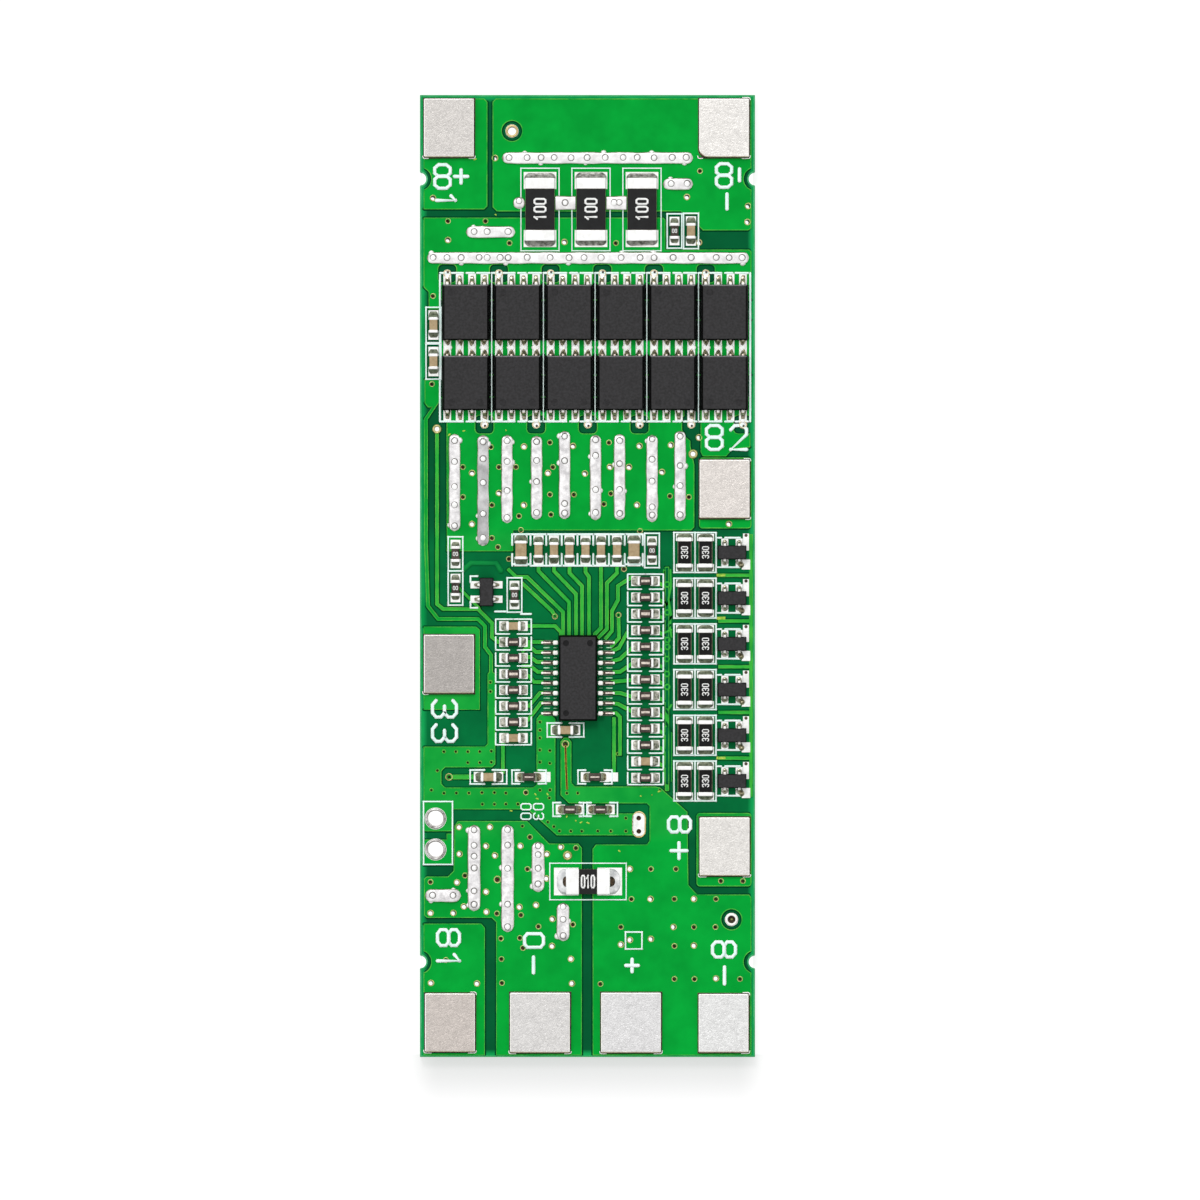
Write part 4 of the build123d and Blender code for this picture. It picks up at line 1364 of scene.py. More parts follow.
def addChip(bm, length, width, height, kind, slots, rng):
    # one chip along X on its land, its middle at the origin
    top, body, cap, fillet, stripe, dark = slots
    skin = 0.02 * mm
    half = width / 2 + kind.get("spread", 0.0)
    width -= 2 * kind.get("inset", 0.0)
    length -= 2 * kind.get("shrink", 0.0)
    inner = length / 2 - kind["cap"]
    long, wide = inner + 0.1 * mm, width / 2 - skin
    low, high = (-long, -wide, 0.02 * mm), (long, wide, height - 0.03 * mm)
    addBlock(bm, low, high, slot=body, soft=0.07 * mm)
    if "edge" in kind:
        film = width / 2 - kind["edge"]
        low, high = (-inner, -film, height - 0.08 * mm), (inner, film, height)
        addBlock(bm, low, high, slot=top, soft=0.015 * mm, segments=1)
    # a pale bar along the top: a painted highlight
    if "stripe" in kind:
        long, wide = inner * 0.74, kind["stripe"] * rng.uniform(0.5, 0.75)
        low, high = (-long, -wide, height - 0.06 * mm), (long, wide, height - 0.01 * mm)
        addBlock(bm, low, high, slot=stripe, soft=0.015 * mm, segments=1)
    for side in (-1, 1):
        xs = sorted((side * length / 2, side * inner))
        low, high = (xs[0], -width / 2, 0.0), (xs[1], width / 2, height - 0.004 * mm)
        addBlock(bm, low, high, slot=cap, soft=kind["soft"], segments=3)
        tall = height * kind["rise"] * rng.uniform(0.85, 1.0)
        reach = kind["reach"] * rng.uniform(0.8, 1.15) + 0.05 * mm
        spare = rng.uniform(0.2, 0.4)

        def slope(u, v, tall=tall, spare=spare):
            return tall * (1 - u) ** 1.7 * (1 - spare * abs(v) ** 2.5)
        start = (side * (length / 2 - 0.05 * mm), 0, 0)
        turn = (0.0 if side > 0 else math.pi) + rng.uniform(-0.05, 0.05)
        addHeap(bm, start, reach, half, slope, arched(kind["tip"]), turn, slot=fillet, steps=(8, 8))
        # a dark patch of painted shade stands for the pit beside the cap
        if "pocket" in kind:
            share = kind["pocket"] / reach * (0.75 if side < 0 else 1.1)

            def inPocket(u, v, slope=slope, share=share):
                return slope(u * share, v * 0.45) + 0.02 * mm
            size = (reach * share, half * 0.4)
            addHeap(bm, start, *size, inPocket, arched(0.3), turn, slot=dark, steps=(6, 6))


def makeChips(node, kindName):
    rng = random.Random(sum(map(ord, node)))
    whole = bmesh.new()
    for k, (low, high) in enumerate(solidBoxes(node)):
        size, middle = high - low, (low + high) / 2
        turned = isUpright(low, high)
        length, width = (size.y, size.x) if turned else (size.x, size.y)
        tan = k in tanOnes.get(node, ()) or kindName == "tanChip"
        kind = chipKinds["tanChip"] if tan else chipKinds[kindName]
        bm = bmesh.new()
        addChip(bm, length, width, size.z, kind, (4, 4, 2, 3, 5, 6) if tan else (0, 1, 2, 3, 5, 6), rng)
        if turned:
            bmesh.ops.rotate(bm, verts=bm.verts, cent=(0, 0, 0), matrix=Matrix.Rotation(math.pi / 2, 3, "Z"))
        bmesh.ops.translate(bm, verts=bm.verts, vec=(middle.x, middle.y, low.z))
        part = bpy.data.meshes.new("part")
        bm.to_mesh(part)
        bm.free()
        whole.from_mesh(part)
        bpy.data.meshes.remove(part)
    kind = chipKinds[kindName]
    looks = [kind["top"], kind["body"], kind.get("capFinish", "endCap"), kind["fillet"]]
    looks += ["capacitorCeramic", "chipStripe", "holeWall"]
    piece = finishMesh(whole, node + "_chips", looks)
    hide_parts(node)
    return piece


for node, kindName in chipNodes.items():
    pieces.append(makeChips(node, kindName))
print("chips made:", len(chipNodes))

small = {
    "length": 2.88 * mm, "width": 1.42 * mm, "height": 1.0 * mm, "leadOffset": 0.72 * mm,
    "soft": 0.04 * mm, "draft": (0.08 * mm, 0.08 * mm), "hole": 0.17 * mm, "holePlace": (1.4 * mm, 1.72 * mm),
    "lead": dict(
        widths=(0.26, 0.32), thick=0.12,
        path=((0.08, 0.5), (0.16, 0.46), (0.22, 0.3), (0.3, 0.17), (0.4, 0.1), (0.46, 0.09)),
    ),
    "leadTop": dict(width=0.28, start=-0.12, end=0.19, low=0.42, high=0.58, soft=0.06),
    "fillet": dict(rise=0.36 * mm, reach=0.5 * mm, half=0.26 * mm, tip=0.4),
    # the rough solder at the lower right stands this far from the middle, right and down
    "rough": dict(rise=0.34 * mm, reach=0.6 * mm, half=0.3 * mm, place=0.95 * mm),
    # the low dull solder on each land: left or right, below or above, and its length and half width in mm
    "lowRise": 0.07 * mm,
    "lowHeaps": ((-1, -1, 0.62, 0.34), (-1, 1, 0.56, 0.28), (1, 1, 0.56, 0.28), (1, -1, 0.62, 0.36)),
}
smallNodes = [f"balance_transistor_{i}" for i in range(1, 7)] + ["regulator_transistor"]


def makeSmallBody(node):
    middle, foot = middleOf(node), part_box(node)[0].z
    bm = bmesh.new()
    half = Vector((small["length"], small["width"], 0)) / 2
    low, high = (-half.x, -half.y, 0.06 * mm), (half.x, half.y, small["height"])
    addBlock(bm, low, high, soft=small["soft"], taper=small["draft"])
    bm.normal_update()
    # the sides take a painted shade
    for face in bm.faces:
        face.material_index = 0 if face.normal.z > 0.8 else 1
    turn = math.pi / 2 if node == "regulator_transistor" else 0.0
    middle.z = foot
    piece = finishMesh(bm, node + "_body", ["moulding", "mouldingSide"], middle, turn)
    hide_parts(node)
    return piece


def smallSpots():
    # where each lead of the small transistors leaves its body, and its turn
    aside, out = small["leadOffset"], small["width"] / 2
    for node in smallNodes:
        middle = middleOf(node)
        for along in (-1, 1):
            for side in (-1, 1):
                place = (middle.x + along * aside, middle.y + side * out)
                turn = 0.0 if side > 0 else math.pi
                if node == "regulator_transistor":
                    place = (middle.x - side * out, middle.y + along * aside)
                    turn = math.pi / 2 * side
                yield Vector((*place, landTop)), turn


def smallSolder(spots):
    # fillets under the leads, darkened with painted shade and painted reflection, dull solder over the small
    # lands, and the rough solder on the lower right lead
    bm = bmesh.new()
    rng = random.Random(21)
    fillet, rough = small["fillet"], small["rough"]
    steep, low, high = tent(fillet["rise"]), crown(small["lowRise"], 0.8), crown(rough["rise"], 0.8)
    for place, turn in spots:
        start = place + Matrix.Rotation(turn, 3, "Z") @ Vector((0, 0.04 * mm, 0))
        reach, pinch = fillet["reach"] * rng.uniform(0.9, 1.1), narrowing(fillet["tip"])
        addHeap(bm, start, reach, fillet["half"], steep, pinch, turn + math.pi / 2, slot=1, steps=(6, 6))
    for node in smallNodes[:-1]:
        middle = middleOf(node)
        for along, side, reach, half in small["lowHeaps"]:
            aside, up = along * small["leadOffset"], side * (small["width"] / 2 - 0.04 * mm)
            foot = Vector((middle.x + aside, middle.y + up, landTop))
            addHeap(bm, foot, reach * mm, half * mm, low, roundBoth, side * math.pi / 2, slot=3, steps=(8, 6))
        foot = Vector((middle.x + rough["place"], middle.y - rough["place"], landTop))
        down = -math.pi / 2 + rng.uniform(-0.2, 0.2)
        addHeap(bm, foot, rough["reach"], rough["half"], high, roundBoth, down, slot=1)
        # a flat dark disc of painted shade where a hole shows dark
        aside, up = small["holePlace"]
        hole = Vector((middle.x + aside, middle.y + up, landTop + 0.01 * mm))
        addDisc(bm, hole, small["hole"], 0.04 * mm, 2, 16)
    looks = ["flowedSolder", "filletSolder", "holeWall", "mottledFillet"]
    piece = finishMesh(bm, "smallTransistorSolder", looks)
    return piece


for node in smallNodes:
    pieces.append(makeSmallBody(node))
spots = list(smallSpots())
# the lead tops take a painted highlight
pieces.append(leadPiece("smallTransistorLeads", makeLead(**small["lead"]), spots, "leadShank"))
pieces.append(leadPiece("smallTransistorLeadTops", makeLump(**small["leadTop"]), spots, "leadTop"))
pieces.append(smallSolder(spots))
print("small transistors made")

controller = {
    "width": 3.88 * mm, "soft": 0.08 * mm, "draft": (0.12 * mm, 0.12 * mm), "sink": 0.025 * mm,
    "pitch": 1.01 * mm, "leads": 8, "mark": 0.32 * mm,
    # where the three round marks stand, in mm from the middle
    "marks": ((-1.2, 3.5), (1.2, 3.5), (-1.2, -3.5)),
    "lead": dict(
        widths=(0.3, 0.26), thick=0.12,
        path=((0.3, 0.7), (0.44, 0.66), (0.52, 0.5), (0.6, 0.25), (0.68, 0.1)),
    ),
    "leadTop": dict(width=0.44, start=0.04, end=0.56, low=0.58, high=0.84, soft=0.125),
    "leadFoot": dict(width=0.15, start=0.78, end=1.6, low=0.02, high=0.17, soft=0.04),
    "leadTip": dict(width=0.24, start=1.52, end=1.74, low=0.0, high=0.15, soft=0.07),
    "fillet": dict(rise=0.1 * mm, start=0.62 * mm, reach=1.1 * mm, half=0.17 * mm),
}


def makeController():
    low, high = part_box("controller_chip")
    middle = (low + high) / 2
    half = controller["width"] / 2
    bm = bmesh.new()
    lower = (middle.x - half, low.y, low.z + 0.1 * mm)
    upper = (middle.x + half, high.y, high.z - controller["sink"])
    addBlock(bm, lower, upper, soft=controller["soft"], taper=controller["draft"])
    bm.normal_update()
    # the sides take a painted shade
    for face in bm.faces:
        face.material_index = 0 if face.normal.z > 0.93 else 1
    for x, y in controller["marks"]:
        place = Vector((middle.x + x * mm, middle.y + y * mm, high.z - 0.03 * mm))
        addDisc(bm, place, controller["mark"], 0.04 * mm, 2, 28)
    piece = finishMesh(bm, "controllerBody", ["moulding", "mouldingSide", "mouldingMark"])
    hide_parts("controller_chip")
    return piece


def controllerSpots():
    middle = middleOf("controller_chip")
    for i in range(controller["leads"]):
        y = middle.y + (i - (controller["leads"] - 1) / 2) * controller["pitch"]
        for side in (-1, 1):
            yield Vector((middle.x + side * controller["width"] / 2, y, landTop)), -math.pi / 2 * side


def controllerSolder(spots):
    # a low fillet round each long foot, coloured dark brown as painted shade
    bm = bmesh.new()
    fillet = controller["fillet"]
    rise = crown(fillet["rise"], 0.7)
    for place, turn in spots:
        start = place + Matrix.Rotation(turn, 3, "Z") @ Vector((0, fillet["start"], 0))
        out = turn + math.pi / 2
        addHeap(bm, start, fillet["reach"], fillet["half"], rise, roundBoth, out, steps=(8, 6))
    piece = finishMesh(bm, "controllerSolder", ["footShade"])
    return piece


pieces.append(makeController())
spots = list(controllerSpots())
# the tops and tips take a painted highlight
for name, lead, material in (
    ("controllerLeads", makeLead(**controller["lead"]), "leadShank"),
    ("controllerLeadTops", makeLump(**controller["leadTop"]), "leadTop"),
    ("controllerLeadFeet", makeLump(**controller["leadFoot"]), "leadFoot"),
    ("controllerLeadTips", makeLump(**controller["leadTip"]), "leadTop"),
):
    pieces.append(leadPiece(name, lead, spots, material))
pieces.append(controllerSolder(spots))
print("controller made")

bars = {
    "width": 1.14 * mm, "loadWidth": 1.28 * mm, "linkWidth": 1.36 * mm, "height": 0.26 * mm,
    "shoulder": 0.13 * mm, "waviness": 0.10 * mm, "step": 0.14 * mm, "dome": 0.3 * mm, "crease": 0.05 * mm,
    "creaseShift": 0.06 * mm, "lobe": 0.3 * mm, "linkGrowth": 0.14 * mm,
}
# links: the short runs beside the shunts, and which of their two ends are cut flat
flatEnds = {(99, 860): (False, False), (137, 854): (True, True), (188, 854): (True, True)}
# how far along each bar, from its upper or left end, a plated hole shows as a bump, in grid steps;
# a bar is known by where its upper or left end stands on the grid
barBumps = {
    "upper_solder_bars": {
        (82, 899): (7, 25, 39, 52, 69, 85, 103, 121, 135, 152, 170, 184),
        (243, 873): (8, 24),
        (46, 825): (8, 21, 42),
        (7, 799): (
            6, 20, 34, 52, 60, 73, 81, 100, 123, 142, 157, 174, 194, 213, 227, 246, 264, 289, 302, 315,
        ),
        (99, 860): (4,),
        (137, 854): (8,),
        (188, 854): (6, 11),
    },
    "source_solder_bars": {
        (34.5, 625): (7, 28, 53, 71, 92),
        (63, 625): (7, 24, 48, 79, 103),
        (87, 625): (6, 27, 56, 83),
        (116.5, 625): (6, 25, 46, 77),
        (144.5, 630): (5.5, 30, 73, 82.5),
        (175.5, 625): (5, 21, 55, 78),
        (199.5, 625): (7, 30, 56, 80),
        (232, 625): (4.5, 24.5, 46.5, 72.5, 80.5),
        (260, 630): (5.5, 35, 55, 84),
    },
    "load_solder_bars": {
        (54, 230): (5, 20.5, 31.5, 43.5, 66, 79.5),
        (87, 230): (5, 20.5, 43.5, 79.5, 102),
        (118, 215): (4, 13, 26.5, 42),
        (143.5, 155): (4, 16.5, 33),
        (8, 163): (7.5, 28),
    },
}
dullBarColumn = 63


def barStart(low, high):
    # the upper or left end of a bar, which tells the bars apart
    middle = (low + high) / 2
    return Vector((middle.x, high.y, low.z)) if isUpright(low, high) else Vector((low.x, middle.y, low.z))


def barPlace(node, start):
    return min(barBumps[node], key=lambda place: (at(*place).xy - start.xy).length)


def barRun(node, low, high, rng):
    # the middle line of one bar, with a swell that rounds its two ends
    size, start, upright = high - low, barStart(low, high), isUpright(low, high)
    span = max(size.x, size.y)
    width = bars["loadWidth"] if node == "load_solder_bars" else bars["width"]
    flat = flatEnds.get(barPlace(node, start), (False, False))
    if any(flat):
        width = bars["linkWidth"]
    grow = [bars["linkGrowth"] if end else 0.0 for end in flat]
    start += Vector((0, grow[0], 0)) if upright else Vector((-grow[0], 0, 0))
    span += sum(grow)
    count = max(int(span / bars["step"]), 10)
    phase = rng.uniform(0, 6)
    points, swell = [], []
    for i in range(count + 1):
        t = i / count
        points.append(start + (Vector((0, -t * span, 0)) if upright else Vector((t * span, 0, 0))))
        ends = [1.0 if cut else min(near * span / (width / 2), 1.0) for cut, near in zip(flat, (t, 1 - t))]
        rounding = math.sqrt(max(1 - (1 - min(ends)) ** 2, 0.01))
        swell.append(width / bars["width"] * rounding * (1 + 0.03 * math.sin(phase + t * span / mm * 1.9)))
    return points, swell


def barBulges(node, rng):
    # each plated hole swells the bar above it, and some swell it at its side too
    domes, lobes = [], []
    broad = bars["loadWidth"] / bars["width"] if node == "load_solder_bars" else 1.0
    for low, high in solidBoxes(node):
        start, upright = barStart(low, high), isUpright(low, high)
        place = barPlace(node, start)
        link = place in flatEnds
        rise = bars["height"] * (bars["linkWidth"] / bars["width"] if link else broad)
        for d in barBumps[node][place]:
            step = Vector((0, -d * stepY, 0)) if upright else Vector((d * stepX, 0, 0))
            domes.append(start + step + Vector((0, 0, rise)))
            if rng.random() < 0.45 and not link:
                aside = rng.choice((-1, -1, 1)) * bars["width"] * broad * 0.42
                drift = rng.uniform(-0.25, 0.1) * mm
                away = Vector((aside, drift, 0)) if upright else Vector((drift, -aside, 0))
                lobes.append(start + step + away + Vector((0, 0, bars["height"] * 0.15)))
    return domes, lobes


def makeBars(node):
    rng = random.Random(len(node))
    lines, swells = [], []
    for low, high in solidBoxes(node):
        points, swell = barRun(node, low, high, rng)
        lines.append((points, False))
        swells += swell
    piece = linePiece(node + "_runs", lines, solderRun, {
        "Width": bars["width"], "Height": bars["height"], "Shoulder": bars["shoulder"],
        "Waviness": bars["waviness"], "Wave scale": 800.0, "Seed": len(node),
        "Material": "flowedSolder" if node == "upper_solder_bars" else "mottledSolder",
    }, swells)
    base = min(point.z for line in lines for point in line[0])
    for vert in piece.data.vertices:
        vert.co.z = max(vert.co.z, base)
    for name in ("dullSolder", "solderLight", "solderDark"):
        piece.data.materials.append(finish[name])
    column = at(dullBarColumn, 0).x
    # faces turned right or towards the near end take a painted highlight, faces turned left or towards the
    # far end a painted shade
    for face in piece.data.polygons:
        if face.normal.x > 0.45 or face.normal.y < -0.45:
            face.material_index = 2
        elif face.normal.x < -0.45 or face.normal.y > 0.45:
            face.material_index = 3
        elif node == "source_solder_bars" and abs(face.center.x - column) < 0.8 * mm:
            face.material_index = 1
    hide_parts(node)
    made = [piece]
    places, sides = barBulges(node, rng)
    for name, spots, most, sizes in (
        ("_domes", places, 1.1, {"Radius": bars["dome"], "Flatness": 0.24, "Sides": 14}),
        ("_lobes", sides, 1.15, {"Radius": bars["lobe"], "Flatness": 0.6, "Sides": 12}),
    ):
        swell = [rng.uniform(0.8, most) for spot in spots]
        made.append(pointPiece(node + name, spots, swell, solderDome, {**sizes, "Material": "endCap"}))
    # a ring of painted shade round each bump, moved so that it shows most above it
    shift = Vector((bars["creaseShift"] * 0.3, bars["creaseShift"], 0))
    rings = [place + shift * rng.uniform(0.3, 1.2) for place in places]
    made.append(pointPiece(node + "_creases", rings, [rng.uniform(0.92, 1.0) for ring in rings], holeRim, {
        "Ring radius": bars["dome"] * 1.04, "Wire radius": bars["crease"], "Sides": 18,
        "Material": "solderCrease",
    }))
    return made


for node in barBumps:
    pieces += makeBars(node)
print("solder bars made")

ink = {
    "frame": 0.2 * mm, "fineFrame": 0.15 * mm, "deepFrame": 0.11 * mm, "label": 0.35 * mm,
    "small": 0.15 * mm, "thick": 0.03 * mm, "chipThick": 0.015 * mm, "markThick": 0.02 * mm,
}
digits = {
    "0": [
        ([(0.15, 0), (0.45, 0), (0.6, 0.15), (0.6, 0.85), (0.45, 1), (0.15, 1), (0, 0.85), (0, 0.15)], True),
    ],
    "1": [([(0.08, 0.76), (0.32, 1), (0.32, 0)], False)],
    "2": [([(0, 0.82), (0.15, 1), (0.45, 1), (0.6, 0.85), (0.6, 0.62), (0, 0), (0.6, 0)], False)],
    "3": [
        ([(0, 0.85), (0.15, 1), (0.45, 1), (0.6, 0.85), (0.6, 0.65), (0.45, 0.5), (0.2, 0.5)], False),
        ([(0.45, 0.5), (0.6, 0.35), (0.6, 0.15), (0.45, 0), (0.15, 0), (0, 0.15)], False),
    ],
    "8": [
        (
            [(0.12, 0.52), (0, 0.64), (0, 0.86), (0.15, 1), (0.45, 1), (0.6, 0.86), (0.6, 0.64),
             (0.48, 0.52)],
            True,
        ),
        (
            [(0.12, 0.5), (0, 0.38), (0, 0.14), (0.15, 0), (0.45, 0), (0.6, 0.14), (0.6, 0.38), (0.48, 0.5)],
            True,
        ),
    ],
    "+": [([(0.0, 0.5), (0.66, 0.5)], False), ([(0.33, 0.17), (0.33, 0.83)], False)],
}


def writeNumber(text, centre, height, turn=0.0, spread=0.85, squeeze=1.0):
    # the strokes of a row of plain numerals, centred and turned about its middle
    lines = []
    width = (len(text) - 1) * spread + 0.6
    spin = Matrix.Rotation(math.radians(turn), 3, "Z")
    for i, letter in enumerate(text):
        for points, closed in digits[letter]:
            flat = [Vector(((x + i * spread - width / 2) * squeeze, y - 0.5, 0)) * height for x, y in points]
            lines.append(([Vector(centre) + spin @ p for p in flat], closed))
    return lines


def stroke(z, *places):
    return ([at(*p, z) for p in places], False)


def boxLines(low, high, z, gap=0.0):
    # a printed frame; a gap opens the middle of its long sides
    if not gap:
        corners = ((low.x, low.y), (high.x, low.y), (high.x, high.y), (low.x, high.y))
        return [flatLine(z, *corners, closed=True)]
    lines = []
    for side, end in ((-1, low.x), (1, high.x)):
        start = (low.x + high.x) / 2 + side * gap / 2
        lines.append(flatLine(z, (start, low.y), (end, low.y), (end, high.y), (start, high.y)))
    return lines


def strokesPiece(name, lines, width, material, thick=ink["markThick"], sides=8):
    # strokes that cross lie at slightly different heights
    for k, line in enumerate(lines):
        for point in line[0]:
            point.z += (k % 5) * 0.003 * mm
    return linePiece(name, lines, printStroke, {
        "Width": width, "Thickness": thick, "Dot sides": sides, "Material": material,
    })


# how far a printed frame stands off its chip: along X, along Y, and the gap in its long sides
frameMargins = {
    "shunt": (0.36 * mm, 0.98 * mm, 0.0),
    "loadShunt": (1.62 * mm, 0.53 * mm, 0.0),
    "bleed": (0.28 * mm, 0.42 * mm, 0.0),
    "darkChip": (0.9 * mm, 0.27 * mm, 1.9 * mm),
    "column": (0.98 * mm, 0.27 * mm, 0.8 * mm),
    "upright": (0.32 * mm, 0.92 * mm, 0.0),
}


# each of these rows of chips stands in one long frame
ladderNodes = ("filter_capacitors", "pin_resistors", "channel_resistors")


def chipFrames(z, large):
    # the frames of the large shunts, or those of all the other chips
    lines = []
    for node, kindName in chipNodes.items():
        if (kindName in ("shunt", "loadShunt")) != large or node in ladderNodes:
            continue
        for low, high in solidBoxes(node):
            standing = "upright" if isUpright(low, high) else "column"
            overX, overY, gap = frameMargins[kindName if kindName in frameMargins else standing]
            over = Vector((overX, overY, 0))
            lines += boxLines(low - over, high + over, z, gap)
    return lines


def columnLadder(node, z):
    # one frame along a column of chips, with a broken rung between each two
    boxes = sorted(solidBoxes(node), key=lambda box: box[0].y)
    overX, overY, gap = frameMargins["column"]
    left, right = boxes[0][0].x - overX, boxes[0][1].x + overX
    rungs = [boxes[0][0].y - overY]
    rungs += [(a[1].y + b[0].y) / 2 for a, b in zip(boxes, boxes[1:])]
    rungs.append(boxes[-1][1].y + overY)
    lines = []
    for low, high in zip(rungs, rungs[1:]):
        short = 0.0 if high == rungs[-1] else 0.3 * mm
        lines += [flatLine(z, (x, low), (x, high - short)) for x in (left, right)]
    for k, y in enumerate(rungs):
        middle, half = (left + right) / 2, gap / 2 if 0 < k < len(rungs) - 1 else 0.0
        lines.append(flatLine(z, (left, y), (middle - half, y)))
        lines.append(flatLine(z, (middle + half, y), (right, y)))
    return lines


def capacitorRow(z):
    # one frame along the row of filter capacitors, with a broken divider between each two
    boxes = sorted(solidBoxes("filter_capacitors"), key=lambda box: box[0].x)
    upper = max(high.y for low, high in boxes[1:-1]) + 0.72 * mm
    lower = min(low.y for low, high in boxes[1:-1]) - 0.72 * mm
    edges = [boxes[0][0].x - 0.3 * mm]
    edges += [(a[1].x + b[0].x) / 2 for a, b in zip(boxes, boxes[1:])]
    edges.append(boxes[-1][1].x + 0.3 * mm)
    middle = (upper + lower) / 2
    lines = []
    for k, x in enumerate(edges):
        ends = ((upper, middle + 0.5 * mm), (middle - 0.4 * mm, lower))
        lines += [flatLine(z, (x, a), (x, b)) for a, b in ends]
        if k:
            for y in (upper, lower):
                y += 0.14 * mm if k in (1, len(edges) - 1) and y < middle else 0.0
                lines.append(flatLine(z, (edges[k - 1], y), (x, y)))
    return lines


def transistorFrames(z):
    lines, deep = [], []
    first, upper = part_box(powerNodes[0])[0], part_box(powerNodes[0])[1].y + 0.55 * mm
    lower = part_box(powerNodes[6])[0].y - 0.5 * mm
    count = len(powerNodes) // 2
    pitch = (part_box(powerNodes[5])[0].x - first.x) / (count - 1)
    for i in range(count + 1):
        x = first.x - 0.16 * mm + i * pitch
        (lines if i in (0, count) else deep).append(flatLine(z, (x, upper), (x, lower)))
        if i == count:
            continue
        for y in (upper, lower):
            for start, end in ((0.0, 2.3), (2.65, 3.4), (3.7, 4.95)):
                lines.append(flatLine(z, (x + start * mm, y), (x + end * mm, y)))
    for node in smallNodes[:-1]:
        low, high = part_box(node)
        x0, x1, upper, lower = low.x - 0.18 * mm, high.x - 0.6 * mm, high.y + 0.12 * mm, low.y - 0.12 * mm
        lines.append(flatLine(z, (x0 + 0.5 * mm, upper), (x0, upper), (x0, lower), (x1, lower)))
        lines.append(flatLine(z, (x0 + 0.9 * mm, upper), (x1, upper)))
    low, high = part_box(smallNodes[-1])
    for y, inward in ((low.y - 0.18 * mm, 1), (high.y + 0.18 * mm, -1)):
        x = low.x - 0.25 * mm
        lines.append(flatLine(z, (x, y + inward * 0.6 * mm), (x, y), (x + 0.7 * mm, y)))
    return lines, deep


def terminalNumbers(z):
    # plain numerals and polarity marks beside the tabs
    def bar(column, upperRow, lowerRow):
        return stroke(z, (column, upperRow), (column, lowerRow))
    return (
        writeNumber("8", at(22.5, 880.5, z), 2.36 * mm, squeeze=1.1)
        + writeNumber("+", at(40.5, 880.5, z), 2.0 * mm)
        + writeNumber("1", at(26, 857, z), 1.9 * mm, -90)
        + writeNumber("8", at(304, 881.5, z), 2.36 * mm, squeeze=1.08)
        + writeNumber("82", at(306.5, 619.5, z), 2.4 * mm, squeeze=1.1, spread=0.92)
        + writeNumber("33", at(24.5, 336, z), 2.4 * mm, -90, squeeze=1.15, spread=0.88)
        + writeNumber("8", at(259.5, 232.5, z), 2.2 * mm, -90, squeeze=1.15)
        + writeNumber("+", at(259, 207, z), 2.4 * mm, -90)
        + writeNumber("81", at(28.5, 108, z), 2.2 * mm, -90, squeeze=1.2, spread=0.86)
        + writeNumber("0", at(114, 116.5, z), 1.9 * mm, -90, squeeze=1.2)
        + writeNumber("8", at(304, 107.5, z), 2.3 * mm, -90, squeeze=1.1)
        + writeNumber("+", at(211.5, 91.5, z), 1.9 * mm)
        + [bar(319.5, 888, 876), bar(307, 863, 848), bar(113.5, 100, 84), bar(304.5, 90, 73)]
    )


def makePrint():
    z = landTop
    frames, deep = transistorFrames(z)
    frames += chipFrames(z, False) + capacitorRow(z)
    ladders = columnLadder("pin_resistors", z) + columnLadder("channel_resistors", z)
    for low, high in (((3.5, 192.5), (32.5, 255.5)), ((205.5, 108), (222, 125))):
        frames += boxLines(at(*low), at(*high), z)
    frames += [stroke(z, (75, 445.5), (86, 445.5)), stroke(z, (101, 443), (111, 443))]
    smallNumbers = writeNumber("00", at(106, 245.5, z), 1.0 * mm, -90, spread=0.95)
    smallNumbers += writeNumber("03", at(118.5, 245.5, z), 1.0 * mm, -90, spread=0.95)
    made = []
    for name, lines, width in (
        ("printedFrames", frames, ink["frame"]),
        ("printedFineFrames", chipFrames(z, True) + ladders, ink["fineFrame"]),
        ("printedDeepFrames", deep, ink["deepFrame"]),
        ("printedNumbers", terminalNumbers(z), ink["label"]),
        ("printedSmallNumbers", smallNumbers, ink["small"]),
    ):
        piece = strokesPiece(name, lines, width, "printInk", ink["thick"], 10)
        made.append(piece)
    return made


# the plain numeral on each kind of chip; its turns are for a chip along X and for one along Y
chipNumbers = {
    "shunt": dict(
        name="shuntNumbers", text="100", height=1.12 * mm, turns=(90, 90), squeeze=0.76, spread=0.92,
        ink=0.21 * mm,
    ),
    "loadShunt": dict(
        name="loadShuntNumber", text="010", height=1.22 * mm, turns=(0, 0), squeeze=0.42, spread=0.95,
        ink=0.17 * mm,
    ),
    "bleed": dict(
        name="bleedNumbers", text="330", height=0.62 * mm, turns=(90, 90), squeeze=0.74, spread=0.95,
        ink=0.1 * mm,
    ),
    "plainChip": dict(
        name="chipNumbers", text="00", height=0.36 * mm, turns=(90, 0), squeeze=0.8, spread=0.95,
        ink=0.07 * mm,
    ),
}


def makeChipNumbers():
    made = []
    for kindName, look in chipNumbers.items():
        lines = []
        for node in [node for node, kind in chipNodes.items() if kind == kindName]:
            for low, high in solidBoxes(node):
                centre = ((low.x + high.x) / 2, (low.y + high.y) / 2, high.z + 0.01 * mm)
                sizes = (look["height"], look["turns"][isUpright(low, high)], look["spread"], look["squeeze"])
                lines += writeNumber(look["text"], centre, *sizes)
        piece = strokesPiece(look["name"], lines, look["ink"], "numberInk", ink["chipThick"])
        made.append(piece)
    return made


